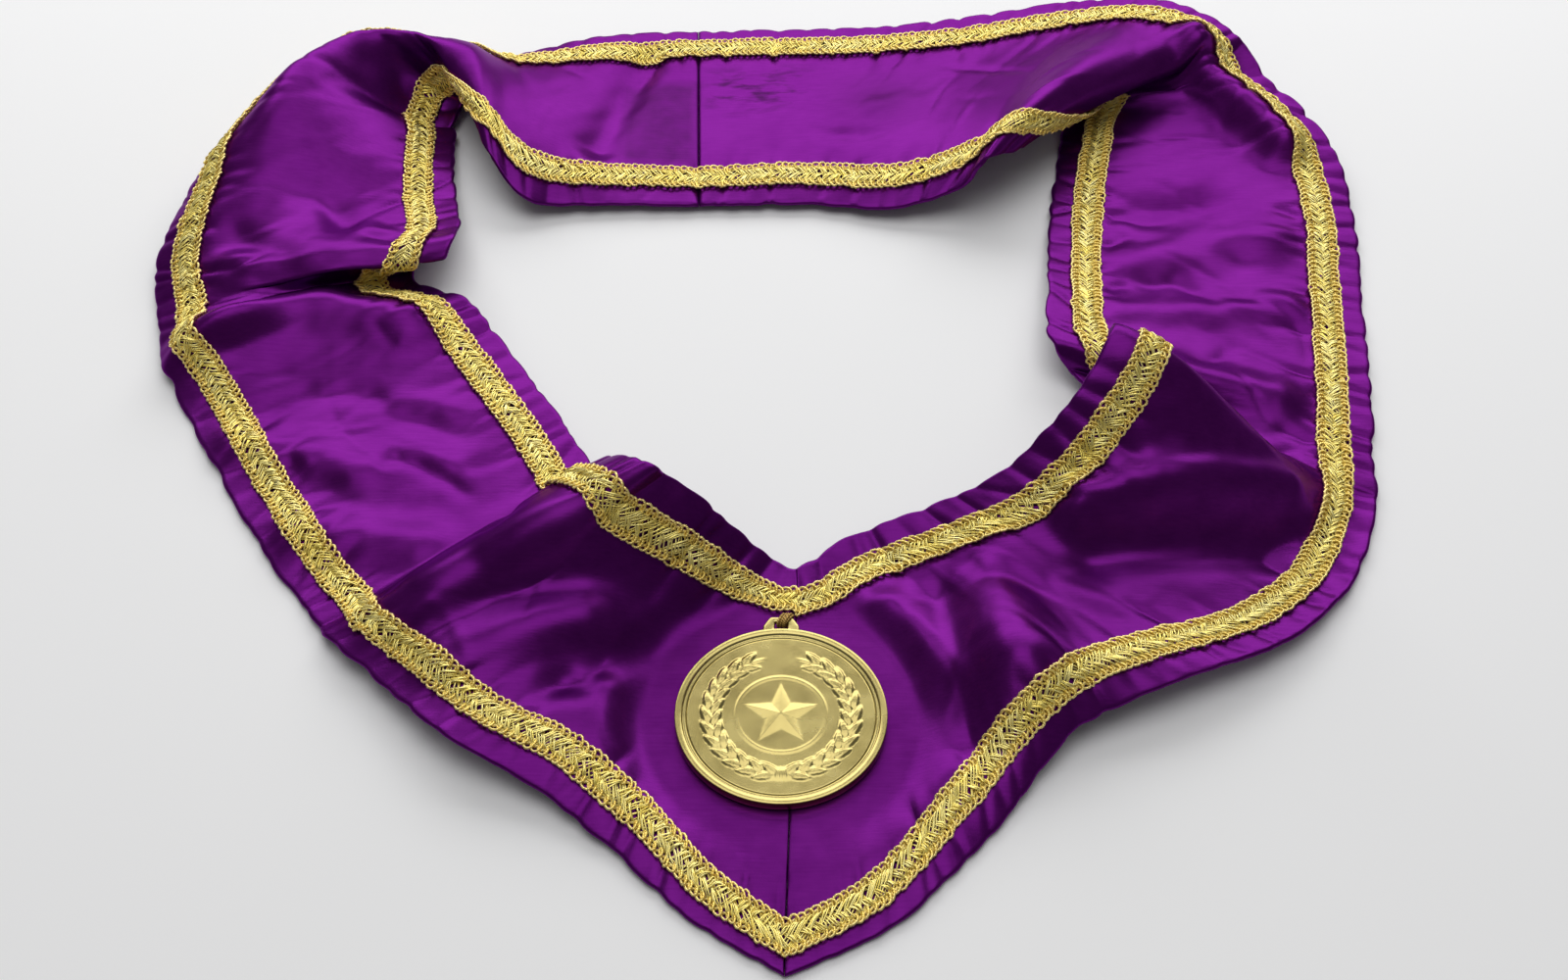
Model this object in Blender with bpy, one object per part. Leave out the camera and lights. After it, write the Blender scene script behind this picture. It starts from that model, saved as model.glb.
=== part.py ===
"""Award collar: a loop of satin strip lying open on a flat surface, sewn from a left and a right
panel that meet in a V at the front and in a straight seam at the back. Two metallic braids follow
its edges, and a struck medal lies on the front V, hung by a loop of thread from the inner braid.

Metres, +Z up. The origin is at the middle of the footprint, on the surface that the collar lies on.
The front V points to -Y.
"""

from collections import namedtuple
from math import pi, radians

import bmesh
import bpy
import numpy as np

# Collar
SPREAD = 0.414  # side to side
REACH = 0.406  # the sections' depth scale, front to back
TIP_REACH = 0.2013  # front tip to the middle of the footprint
STRIP_WIDTH = 0.105
FOLD_HEIGHT = 0.050  # the highest fold over the surface
CURL_LENGTH = 0.036  # of the strip's outer side, where it curls down
CURL_BEND = 0.0165  # of that side, which takes the whole turn
CLOTH_THICKNESS = 0.002  # satin doubled over and pressed
SEAM_GAP = 0.0003
REST_MARGIN = 0.008  # flat cloth past the medal's rim
REST_RAMP = 0.014  # the cloth rises to its folds over this distance

# Braids
BORDER_WIDTH = 0.0075  # satin left outside each braid
BRAID_WIDTH = 0.012
BRAID_THICKNESS = 0.0012
LAY_GAP = 0.0003  # between pieces that lie on each other
V_GATHER = 0.72  # the inner braid is drawn in to this share of its width at the front V
TIP_BORDER = 0.42  # the outer border narrows to this share of its width at the front tip
TIP_BORDER_REACH = 0.045  # from the tip, where most of that is lost

# Medal
MEDAL_DIAMETER = 0.060
MEDAL_THICKNESS = 0.0030
RIM_WIDTH = 0.0021
FIELD_DEPTH = 0.0006  # the struck field lies below the rim
RELIEF_RISE = 0.0007  # wreath and star over the field
MEDAL_OFFSET = -0.0043  # medal to the left of the V
WREATH_LEAVES = 14
STAR_POINTS = 5

# Lug and thread
LUG_WIDTH = 0.0106
LUG_TOP_WIDTH = 0.0064
LUG_BAR = 0.0018  # metal above the slot
LUG_THICKNESS = 0.0016
SLOT_WIDTH = 0.0037
SLOT_HEIGHT = 0.0024
THREAD_WIDTH = 0.0020
THREAD_THICKNESS = 0.0011

# Facets
ROW_PITCH = 0.0085  # along the strip, where its sections are further apart
PLAIN_CELLS = 5  # across the satin between the two braids
MEDAL_SPOKES = 56
THREAD_STEPS = 20
THREAD_SIDES = 8

FIELDS = "name x y bearing span outer outer_third inner_third inner curl"
Section = namedtuple("Section", FIELDS, defaults=[0])
# One row for each section across the strip, from the front seam to the back seam. x and y place its
# outer edge, as shares of SPREAD from the middle and of REACH from the front tip. bearing is the way
# it runs to the inner edge, in degrees from +X, and span its length in plan as a share of STRIP_WIDTH.
# Then come heights at the outer edge, its thirds and the inner edge, as shares of FOLD_HEIGHT, before
# the outer edge curls down by the last column, in degrees.
RIGHT_SECTIONS = [
    Section("front_seam", 0.017, 0.000, 88.3, 1.28, 0.00, 0.00, 0.00, 0.06),
    Section("tip_side", 0.083, 0.033, 98.9, 1.19, 0.00, 0.02, 0.00, 0.05),
    Section("front_a", 0.153, 0.104, 113.4, 1.03, 0.00, 0.12, 0.04, 0.05),
    Section("front_b", 0.215, 0.178, 128.5, 0.91, 0.12, 0.30, 0.10, 0.08),
    Section("front_c", 0.289, 0.214, 137.0, 0.92, 0.20, 0.20, 0.16, 0.16),
    Section("front_d", 0.371, 0.256, 145.2, 0.92, 0.12, 0.14, 0.30, 0.40),
    Section("front_e", 0.428, 0.316, 151.0, 0.89, 0.04, 0.12, 0.54, 0.82),
    Section("crest", 0.456, 0.380, 158.0, 0.86, 0.02, 0.22, 0.74, 1.00),
    Section("crest_back", 0.461, 0.397, 157.1, 0.88, 0.02, 0.16, 0.52, 0.72),
    Section("valley", 0.464, 0.417, 157.0, 0.91, 0.02, 0.06, 0.08, 0.10),
    Section("lip_face", 0.467, 0.443, 160.1, 0.96, 0.02, 0.06, 0.09, 0.11),
    Section("arm_lip", 0.472, 0.470, 164.0, 1.01, 0.02, 0.08, 0.19, 0.25),
    Section("arm_a", 0.482, 0.545, 165.5, 1.03, 0.02, 0.06, 0.10, 0.20),
    Section("arm_b", 0.492, 0.628, 167.7, 1.03, 0.00, 0.04, 0.04, 0.08),
    Section("arm_c", 0.502, 0.715, 171.5, 1.02, 0.02, 0.06, 0.04, 0.02),
    Section("arm_d", 0.499, 0.795, 174.0, 0.95, 0.10, 0.06, 0.04, 0.00),
    Section("under_a", 0.478, 0.856, 178.0, 0.83, 0.14, 0.10, 0.04, 0.00),
    Section("under_valley", 0.452, 0.894, 185.4, 0.71, 0.18, 0.10, 0.12, 0.11),
    Section("under_b", 0.442, 0.918, 199.5, 0.76, 0.22, 0.16, 0.21, 0.22),
    Section("roll_low", 0.426, 0.944, 219.3, 0.99, 0.29, 0.32, 0.34, 0.36),
    Section("roll", 0.406, 0.962, 226.3, 1.12, 0.33, 0.43, 0.49, 0.42),
    Section("back_a", 0.372, 0.978, 232.3, 1.19, 0.37, 0.48, 0.60, 0.48),
    Section("back_b", 0.290, 0.990, 244.0, 1.12, 0.31, 0.34, 0.42, 0.24),
    Section("back_c", 0.186, 0.990, 253.2, 1.07, 0.16, 0.16, 0.20, 0.08),
    Section("back_d", 0.077, 0.990, 261.9, 0.99, 0.06, 0.08, 0.10, 0.04),
    Section("back_seam", -0.063, 0.988, 271.7, 0.98, 0.04, 0.06, 0.06, 0.04),
]
LEFT_SECTIONS = [
    Section("front_seam", 0.017, 0.000, 88.3, 1.28, 0.00, 0.00, 0.00, 0.06),
    Section("tip_side", -0.043, 0.040, 77.5, 1.15, 0.00, 0.02, 0.00, 0.05),
    Section("front_a", -0.097, 0.092, 65.8, 1.03, 0.02, 0.08, 0.02, 0.08),
    Section("front_b", -0.150, 0.134, 54.7, 0.98, 0.10, 0.16, 0.10, 0.20),
    Section("front_c", -0.204, 0.164, 47.0, 0.97, 0.18, 0.20, 0.32, 0.48),
    Section("front_d", -0.256, 0.213, 34.9, 0.92, 0.12, 0.26, 0.50, 0.72),
    Section("crest", -0.303, 0.259, 21.5, 0.96, 0.08, 0.28, 0.56, 0.82),
    Section("crest_back", -0.310, 0.270, 28.0, 0.91, 0.04, 0.20, 0.44, 0.58),
    Section("valley", -0.317, 0.282, 34.5, 0.93, 0.02, 0.06, 0.08, 0.08),
    Section("arm_a", -0.339, 0.310, 38.0, 0.97, 0.00, 0.04, 0.06, 0.06),
    Section("arm_b", -0.371, 0.358, 39.0, 0.98, 0.00, 0.04, 0.08, 0.06),
    Section("arm_c", -0.411, 0.424, 36.5, 0.97, 0.00, 0.04, 0.08, 0.08),
    Section("arm_d", -0.447, 0.487, 30.5, 0.94, 0.00, 0.08, 0.12, 0.12),
    Section("kink_slope", -0.464, 0.517, 27.7, 0.88, 0.02, 0.16, 0.12, 0.10),
    Section("kink_ridge", -0.475, 0.538, 26.7, 0.85, 0.04, 0.34, 0.12, 0.06),
    Section("kink_valley", -0.481, 0.562, 26.2, 0.84, 0.04, 0.18, 0.06, 0.04),
    Section("kink_face", -0.489, 0.585, 17.5, 0.89, 0.03, 0.16, 0.20, 0.25),
    Section("kink_lip", -0.495, 0.611, 4.1, 0.95, 0.02, 0.19, 0.27, 0.34),
    Section("kink_top", -0.498, 0.623, 4.3, 0.98, 0.02, 0.23, 0.32, 0.40),
    Section("arm_e", -0.503, 0.643, 7.0, 1.01, 0.02, 0.22, 0.24, 0.30),
    Section("arm_f", -0.503, 0.677, 11.2, 0.98, 0.06, 0.28, 0.20, 0.16),
    Section("arm_g", -0.492, 0.740, 11.5, 0.90, 0.10, 0.42, 0.30, 0.08),
    Section("dome_a", -0.482, 0.794, 9.8, 0.84, 0.32, 0.56, 0.32, 0.04, 30),
    Section("dome_b", -0.454, 0.873, -8.5, 0.71, 0.60, 0.66, 0.20, 0.06, 68),
    Section("dome_valley", -0.411, 0.927, -20.5, 0.63, 0.62, 0.66, 0.26, 0.14, 74),
    Section("dome_c", -0.372, 0.947, -37.7, 0.64, 0.62, 0.62, 0.40, 0.28, 76),
    Section("dome_d", -0.324, 0.956, -62.4, 0.68, 0.56, 0.60, 0.48, 0.36, 72),
    Section("dome_e", -0.278, 0.956, -77.0, 0.76, 0.38, 0.54, 0.50, 0.34, 40),
    Section("back_a", -0.239, 0.949, -82.7, 0.83, 0.16, 0.34, 0.36, 0.18, 12),
    Section("back_b", -0.159, 0.975, -91.7, 0.94, 0.06, 0.14, 0.18, 0.06),
    Section("back_c", -0.116, 0.983, -90.0, 0.96, 0.05, 0.10, 0.10, 0.05),
    Section("back_seam", -0.063, 0.988, -88.3, 0.98, 0.04, 0.06, 0.06, 0.04),
]

Dent = namedtuple("Dent", "name x0 y0 x1 y1 rise width")
# Ridges and hollows of the satin between those sections, each along a line in plan. x and y are
# shares of SPREAD and REACH, rise a share of FOLD_HEIGHT and width a share of STRIP_WIDTH.
DENTS = [
    Dent("right_upper_ridge", 0.232, 0.354, 0.389, 0.388, 0.14, 0.08),
    Dent("right_hollow", 0.240, 0.328, 0.376, 0.345, -0.08, 0.10),
    Dent("right_front_ridge", 0.090, 0.290, 0.110, 0.225, 0.07, 0.10),
    Dent("right_front_hollow", 0.128, 0.295, 0.142, 0.173, -0.10, 0.10),
    Dent("right_front_swell", 0.165, 0.305, 0.178, 0.226, 0.09, 0.13),
    Dent("left_hollow", -0.184, 0.288, -0.080, 0.292, -0.10, 0.13),
    Dent("left_swell", -0.214, 0.230, -0.120, 0.262, 0.08, 0.11),
    Dent("right_arm_wave_a", 0.300, 0.655, 0.420, 0.690, 0.06, 0.11),
    Dent("right_arm_wave_b", 0.290, 0.590, 0.420, 0.605, 0.05, 0.09),
    Dent("right_arm_wave_c", 0.300, 0.520, 0.400, 0.500, 0.07, 0.09),
    Dent("left_arm_wave_a", -0.400, 0.455, -0.300, 0.420, 0.06, 0.10),
    Dent("left_arm_wave_b", -0.340, 0.365, -0.250, 0.350, 0.06, 0.10),
    Dent("left_arm_wave_c", -0.420, 0.640, -0.330, 0.665, 0.07, 0.11),
    Dent("left_arm_swell", -0.343, 0.592, -0.283, 0.575, 0.12, 0.12),
    Dent("right_corner_ridge", 0.386, 0.914, 0.452, 0.806, 0.18, 0.09),
    Dent("back_hollow", -0.146, 0.807, -0.109, 0.936, -0.10, 0.09),
]


def clear_scene():
    for obj in list(bpy.data.objects):
        bpy.data.objects.remove(obj)


def section_values(sections):
    """Plan position of both edges, the four heights and the curl of each section, one array row each."""
    table = np.array([row[1:] for row in sections], float)
    outer = table[:, 0:2] * (SPREAD, REACH)
    bearing = np.radians(table[:, 2])
    reach = STRIP_WIDTH * table[:, 3]
    inner = outer + reach[:, None] * np.stack([np.cos(bearing), np.sin(bearing)], axis=1)
    outer[:, 1] -= TIP_REACH
    inner[:, 1] -= TIP_REACH
    return np.hstack([outer, inner, table[:, 4:8] * FOLD_HEIGHT, np.radians(table[:, 8:])])


def tangents(stations, values):
    """Slopes at the sections: a weighted mean of both sides, level where a height has its peak."""
    steps = np.diff(stations)[:, None]
    rates = np.diff(values, axis=0) / steps
    before, after = rates[:-1], rates[1:]
    mean = (before * steps[1:] + after * steps[:-1]) / (steps[1:] + steps[:-1])
    same_way = before * after > 0
    total = np.where(same_way, before + after, 1.0)
    mild = np.where(same_way, 2 * before * after / total, 0.0)
    mean[:, 4:] = mild[:, 4:]
    return np.vstack([rates[:1], mean, rates[-1:]])


def hermite(stations, values, at):
    """Smooth curve through the section values, read at the stations in at."""
    slopes = tangents(stations, values)
    i = np.clip(np.searchsorted(stations, at, side="right") - 1, 0, len(stations) - 2)
    width = (stations[i + 1] - stations[i])[:, None]
    s = (at - stations[i])[:, None] / width
    start = (2 * s**3 - 3 * s**2 + 1) * values[i] + (s**3 - 2 * s**2 + s) * width * slopes[i]
    end = (3 * s**2 - 2 * s**3) * values[i + 1] + (s**3 - s**2) * width * slopes[i + 1]
    return start + end


def across(rows, u):
    """Points at the shares u across each row: straight in plan, a cubic through its four heights.

    The outer side, CURL_LENGTH wide, then bends down: it turns by the row's curl round an arc
    CURL_BEND long and hangs straight from there.
    """
    plan = rows[:, None, 0:2] * (1 - u[..., None]) + rows[:, None, 2:4] * u[..., None]
    a, b, c, d = u, u - 1 / 3, u - 2 / 3, u - 1
    weights = np.stack([-4.5 * b * c * d, 13.5 * a * c * d, -13.5 * a * b * d, 4.5 * a * b * c], -1)
    height = (weights * rows[:, None, 4:8]).sum(axis=-1)
    cross = rows[:, 2:4] - rows[:, 0:2]
    width = np.linalg.norm(cross, axis=1)
    inside = np.maximum(CURL_LENGTH - u * width[:, None], 0)
    bent = np.minimum(inside, CURL_BEND)
    hanging = inside - bent
    bend = np.maximum(rows[:, 8:9], 1e-6) / CURL_BEND
    inward = inside - np.sin(bend * bent) / bend - hanging * np.cos(rows[:, 8:9])
    plan += inward[..., None] * (cross / width[:, None])[:, None, :]
    height -= (1 - np.cos(bend * bent)) / bend + hanging * np.sin(rows[:, 8:9])
    return np.concatenate([plan, height[..., None]], axis=-1)


def dented(points, medal_centre):
    """Adds the dents, keeps the cloth off the floor's far side and lays it flat under the medal."""
    points = points.copy()
    for dent in DENTS:
        start = np.array([dent.x0 * SPREAD, dent.y0 * REACH - TIP_REACH])
        line = np.array([dent.x1 * SPREAD, dent.y1 * REACH - TIP_REACH]) - start
        offset = points[..., :2] - start
        share = np.clip(offset @ line / (line @ line), 0, 1)
        away = np.linalg.norm(offset - share[..., None] * line, axis=-1)
        bell = np.exp(-1.5 * (away / (dent.width * STRIP_WIDTH)) ** 2)
        points[..., 2] += dent.rise * FOLD_HEIGHT * bell
    away = np.linalg.norm(points[..., :2] - medal_centre, axis=-1)
    ramp = np.clip((away - MEDAL_DIAMETER / 2 - REST_MARGIN) / REST_RAMP, 0, 1)
    points[..., 2] = np.maximum(points[..., 2], 0) * ramp**2 * (3 - 2 * ramp)
    return points


def edge_stretch(rows, first, second):
    """How much wider a band beside the edge gets along each row, where the row crosses it slantwise."""
    edge = np.gradient(rows[:, first : first + 2], axis=0)
    cross = rows[:, second : second + 2] - rows[:, first : first + 2]
    sine = np.abs(edge[:, 0] * cross[:, 1] - edge[:, 1] * cross[:, 0])
    sine /= np.linalg.norm(edge, axis=1) * np.linalg.norm(cross, axis=1)
    stretch = 1 / np.clip(sine, 0.75, 1)
    padded = np.pad(stretch, 2, mode="edge")
    return np.convolve(padded, np.ones(5) / 5, mode="valid")


def band_columns(rows, profile):
    """Shares across each row where the border, the braid and the plain satin begin and end."""
    fine = np.linspace(0, 1, 49)
    points = profile(rows, np.tile(fine, (len(rows), 1)))
    steps = np.linalg.norm(np.diff(points, axis=1), axis=2)
    run = np.concatenate([np.zeros((len(rows), 1)), np.cumsum(steps, axis=1)], axis=1)
    length = run[:, -1:]
    outer = edge_stretch(rows, 0, 2)[:, None]
    inner = edge_stretch(rows, 2, 0)[:, None]
    notch = np.linalg.norm(rows[:, 2:4] - rows[0, 2:4], axis=1)[:, None]
    gather = 1 - (1 - V_GATHER) * np.exp(-((notch / BRAID_WIDTH) ** 2))
    tip = np.linalg.norm(rows[:, 0:2] - rows[0, 0:2], axis=1)[:, None]
    border = outer * BORDER_WIDTH * (1 - (1 - TIP_BORDER) * np.exp(-((tip / TIP_BORDER_REACH) ** 2)))
    low = border + outer * BRAID_WIDTH
    high = length - inner * BORDER_WIDTH - inner * gather * BRAID_WIDTH
    plain = low + (high - low) * np.linspace(0, 1, PLAIN_CELLS + 1)
    wanted = np.hstack([0 * length, border, plain, length - inner * BORDER_WIDTH, length])
    return np.stack([np.interp(w, r, fine) for w, r in zip(wanted, run)])


def side_grid(sections, medal_centre):
    """Middle surface of one panel, a row of points for each station from front seam to back seam."""
    values = section_values(sections)
    marks = across(values, np.tile([0.0, 0.5, 1.0], (len(values), 1)))
    step = np.linalg.norm(np.diff(marks, axis=0), axis=2).max(axis=1)
    stations = np.concatenate([[0.0], np.cumsum(step)])
    parts = np.maximum(1, np.round(step / ROW_PITCH)).astype(int)
    ends = zip(stations[:-1], stations[1:], parts)
    at = np.concatenate([np.linspace(low, high, n, endpoint=False) for low, high, n in ends])
    rows = hermite(stations, values, np.append(at, stations[-1]))

    def profile(rows, u):
        return dented(across(rows, u), medal_centre)

    return profile(rows, band_columns(rows, profile))


def v_point():
    """Plan position of the inner braid's lower tip on the front seam."""
    return side_grid(RIGHT_SECTIONS, np.array([0.0, -REACH]))[0, -3, :2]


def medal_place():
    """Plan position of the medal's centre, its lug held by the thread a gap below the braid's tip."""
    tip = v_point()
    hang = 2 * LAY_GAP + THREAD_THICKNESS + LUG_BAR + SLOT_HEIGHT
    return tip + (MEDAL_OFFSET, -hang - MEDAL_DIAMETER / 2)


def collar_grid(medal_centre):
    """Middle surface of the whole loop with its upward normals, and the row of its back seam."""
    right = side_grid(RIGHT_SECTIONS, medal_centre)
    left = side_grid(LEFT_SECTIONS, medal_centre)
    left[-1] = right[-1]
    loop = np.concatenate([right, left[-2:0:-1]])
    along = np.roll(loop, -1, axis=0) - np.roll(loop, 1, axis=0)
    over = np.gradient(loop, axis=1)
    normal = np.cross(along, over)
    normal /= np.linalg.norm(normal, axis=2, keepdims=True)
    loop[..., 2] += CLOTH_THICKNESS / 2
    return loop, normal, len(right) - 1


def mesh_object(name, points, faces, material, smooth_angle=40):
    mesh = bpy.data.meshes.new(name)
    mesh.from_pydata(points.tolist(), [], faces)
    mesh.materials.append(material)
    mesh.shade_smooth()
    mesh.set_sharp_from_angle(angle=radians(smooth_angle))
    obj = bpy.data.objects.new(name, mesh)
    bpy.context.scene.collection.objects.link(obj)
    return obj


def quad(a, b, c, d):
    """The two triangles of a quad, always split along a to c so that stacked layers keep one shape."""
    return [(a, b, c), (a, c, d)]


def wall(name, upper, lower, material, closed):
    """Closed solid between two grids of points. Its rows end in caps, or run round in a ring."""
    rows, columns = upper.shape[:2]
    under = rows * columns
    faces = []
    for i in range(rows if closed else rows - 1):
        here, there = i * columns, (i + 1) % rows * columns
        for j in range(columns - 1):
            a, b, c, d = here + j, there + j, there + j + 1, here + j + 1
            faces += quad(a, b, c, d)
            faces += [(under + c, under + b, under + a), (under + d, under + c, under + a)]
        for j, turn in ((0, False), (columns - 1, True)):
            side = [here + j, under + here + j, under + there + j, there + j]
            faces += quad(*(side[::-1] if turn else side))
    if not closed:
        for start, turn in ((0, False), (under - columns, True)):
            for j in range(start, start + columns - 1):
                side = [j, j + 1, under + j + 1, under + j]
                faces += quad(*(side[::-1] if turn else side))
    points = np.concatenate([upper.reshape(-1, 3), lower.reshape(-1, 3)])
    return mesh_object(name, points, faces, material)


def satin_panel(name, loop, normal, rows, material):
    """One half of the strip, its ends drawn back from the seams by half the seam's gap."""
    grid = loop[rows].copy()
    for end, beside in ((0, 1), (-1, -2)):
        line = grid[end, -1, :2] - grid[end, 0, :2]
        square = np.array([-line[1], line[0]]) / np.linalg.norm(line)
        inward = np.sign((grid[beside, 0, :2] - grid[end, 0, :2]) @ square)
        grid[end, :, :2] += inward * square * SEAM_GAP / 2
    lift = normal[rows] * CLOTH_THICKNESS / 2
    return wall(name, grid + lift, grid - lift, material, closed=False)


def braid(name, loop, normal, columns, material):
    """A flat braid that lies on the satin all the way round, between two of its columns."""
    seat = CLOTH_THICKNESS / 2 + LAY_GAP
    track = loop[:, columns]
    lower = track + normal[:, columns] * seat
    upper = track + normal[:, columns] * (seat + BRAID_THICKNESS)
    return wall(name, upper, lower, material, closed=True)


def star_radius(angle):
    """Outline of the star: straight edges between its points and its notches."""
    point, notch = 0.36 * MEDAL_DIAMETER / 2, 0.16 * MEDAL_DIAMETER / 2
    sector = pi / STAR_POINTS
    turn = np.abs((angle - pi / 2 + sector) % (2 * sector) - sector)
    ax, ay = point, 0.0
    bx, by = notch * np.cos(sector), notch * np.sin(sector)
    return (ax * by - ay * bx) / (np.cos(turn) * (by - ay) - np.sin(turn) * (bx - ax))


def relief(radius, angle):
    """Height of the struck face over its field: a faceted star inside an open wreath of leaves."""
    star = np.clip(1 - radius / star_radius(angle), 0, 1) ** 0.8
    middle, half = 0.66 * MEDAL_DIAMETER / 2, 0.13 * MEDAL_DIAMETER / 2
    band = np.clip(1 - ((radius - middle) / half) ** 2, 0, 1)
    leaf = 0.55 + 0.45 * np.cos(WREATH_LEAVES * angle)
    opening = np.clip(np.abs((angle - pi / 2 + pi) % (2 * pi) - pi) / 0.25 - 0.6, 0, 1)
    return RELIEF_RISE * (star + band * leaf * opening)


def medal_disc(material):
    """The struck disc: a flat back, a straight edge, a raised rim and the relief on its field."""
    outer = MEDAL_DIAMETER / 2
    shares = np.array([0.07, 0.16, 0.26, 0.36, 0.45, 0.53, 0.60, 0.66, 0.72, 0.79, 0.86])
    radii = shares * (outer - RIM_WIDTH) / 0.93
    field = MEDAL_THICKNESS - FIELD_DEPTH
    angles = np.arange(MEDAL_SPOKES) * 2 * pi / MEDAL_SPOKES
    rings = [(r, field + relief(r, angles)) for r in radii]
    inner_rim = outer - RIM_WIDTH
    rings += [(inner_rim, field), (inner_rim, MEDAL_THICKNESS), (outer, MEDAL_THICKNESS), (outer, 0.0)]
    points = [(0.0, 0.0, field + float(relief(0.0, pi / 2)))]
    for index, (r, height) in enumerate(rings):
        shift = 0.0001 * (index == len(radii) + 1)
        x, y = (r + shift) * np.cos(angles), (r + shift) * np.sin(angles)
        points += list(zip(x, y, height + 0 * angles))
    points.append((0.0, 0.0, 0.0))
    faces = []
    for k in range(MEDAL_SPOKES):
        n = (k + 1) % MEDAL_SPOKES
        faces.append((0, 1 + k, 1 + n))
        for ring in range(len(rings) - 1):
            start = 1 + ring * MEDAL_SPOKES
            faces += quad(start + k, start + MEDAL_SPOKES + k, start + MEDAL_SPOKES + n, start + n)
        last = 1 + (len(rings) - 1) * MEDAL_SPOKES
        faces.append((len(points) - 1, last + n, last + k))
    return mesh_object("medal", np.array(points), faces, material)


def medal_lug(material):
    """The slotted lug on top of the disc, an outline with its slot, as a helper for the union."""
    root = MEDAL_DIAMETER / 2 - 0.0015
    base = MEDAL_DIAMETER / 2
    top = base + SLOT_HEIGHT + LUG_BAR
    half, half_top, slot = LUG_WIDTH / 2, LUG_TOP_WIDTH / 2, SLOT_WIDTH / 2
    outline = [(-half, root), (-half, base + 0.4 * SLOT_HEIGHT), (-half_top, top), (half_top, top)]
    outline += [(half, base + 0.4 * SLOT_HEIGHT), (half, root)]
    hole_low, hole_top = base, base + SLOT_HEIGHT
    hole = [(-slot, hole_low), (-slot, hole_low + 0.4 * SLOT_HEIGHT), (-slot, hole_top)]
    hole += [(slot, hole_top), (slot, hole_low + 0.4 * SLOT_HEIGHT), (slot, hole_low)]
    high = MEDAL_THICKNESS
    low = high - LUG_THICKNESS
    points = [(x, y, z) for z in (low, high) for x, y in outline + hole]
    count = len(outline)
    faces = []
    for k in range(count):
        n = (k + 1) % count
        out, out_n, cut, cut_n = k, n, count + k, count + n
        up = 2 * count
        faces += quad(out, out_n, cut_n, cut)
        faces += [tuple(up + i for i in tri[::-1]) for tri in quad(out, out_n, cut_n, cut)]
        faces += quad(out_n, out, out + up, out_n + up)
        faces += quad(cut, cut_n, cut_n + up, cut + up)
    lug = mesh_object("lug_helper", np.array(points), faces, material)
    lug.hide_render = True
    lug.display_type = "WIRE"
    shell = bmesh.new()
    shell.from_mesh(lug.data)
    bmesh.ops.recalc_face_normals(shell, faces=shell.faces)
    shell.to_mesh(lug.data)
    shell.free()
    return lug


def medal(centre, material):
    """The disc and its lug as one solid, lying on the satin."""
    disc = medal_disc(material)
    lug = medal_lug(material)
    lug.parent = disc
    disc.location = (*centre, CLOTH_THICKNESS + LAY_GAP)
    join = disc.modifiers.new("lug", "BOOLEAN")
    join.operation = "UNION"
    join.solver = "EXACT"
    join.object = lug
    return disc


def hanging_thread(centre, material):
    """A flat ring of thread through the slot and round the lug's bar, up to the braid's tip."""
    tip = v_point()
    seat = CLOTH_THICKNESS + LAY_GAP + MEDAL_THICKNESS
    bar_low, bar_high = seat - LUG_THICKNESS, seat
    half_height = LUG_THICKNESS / 2 + LAY_GAP + THREAD_THICKNESS / 2
    middle = (bar_low + bar_high) / 2
    slot_top = centre[1] + MEDAL_DIAMETER / 2 + SLOT_HEIGHT
    near = slot_top - LAY_GAP - THREAD_THICKNESS / 2
    far = slot_top + LUG_BAR + LAY_GAP + THREAD_THICKNESS / 2
    turn = np.arange(THREAD_STEPS) * 2 * pi / THREAD_STEPS
    round_y = np.sign(np.cos(turn)) * np.abs(np.cos(turn)) ** 0.6
    round_z = np.sign(np.sin(turn)) * np.abs(np.sin(turn)) ** 0.6
    path_y = (near + far) / 2 + (far - near) / 2 * round_y
    path_z = middle + half_height * round_z
    path = np.stack([path_y, path_z], axis=1)
    way = np.roll(path, -1, axis=0) - np.roll(path, 1, axis=0)
    way /= np.linalg.norm(way, axis=1, keepdims=True)
    outward = np.stack([way[:, 1], -way[:, 0]], axis=1)
    sides = np.arange(THREAD_SIDES) * 2 * pi / THREAD_SIDES
    wide = THREAD_WIDTH / 2 * np.cos(sides)
    thick = THREAD_THICKNESS / 2 * np.sin(sides)
    lean = (tip[0] - centre[0]) * 0.7 * np.clip((path_y - near) / (far - near), 0, 1)
    yz = path[:, None, :] + outward[:, None, :] * thick[None, :, None]
    x = centre[0] + lean[:, None] + wide[None, :]
    points = np.concatenate([x[..., None], yz], axis=-1).reshape(-1, 3)
    faces = []
    for i in range(THREAD_STEPS):
        for j in range(THREAD_SIDES):
            a, b = i * THREAD_SIDES + j, i * THREAD_SIDES + (j + 1) % THREAD_SIDES
            c = (i + 1) % THREAD_STEPS * THREAD_SIDES + (j + 1) % THREAD_SIDES
            d = (i + 1) % THREAD_STEPS * THREAD_SIDES + j
            faces += quad(a, b, c, d)
    return mesh_object("hanging_thread", points, faces, material)


def finish(name, colour, roughness, metallic):
    material = bpy.data.materials.new(name)
    material.use_nodes = True
    shader = material.node_tree.nodes["Principled BSDF"]
    shader.inputs["Base Color"].default_value = (*colour, 1)
    shader.inputs["Roughness"].default_value = roughness
    shader.inputs["Metallic"].default_value = metallic
    return material


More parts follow.
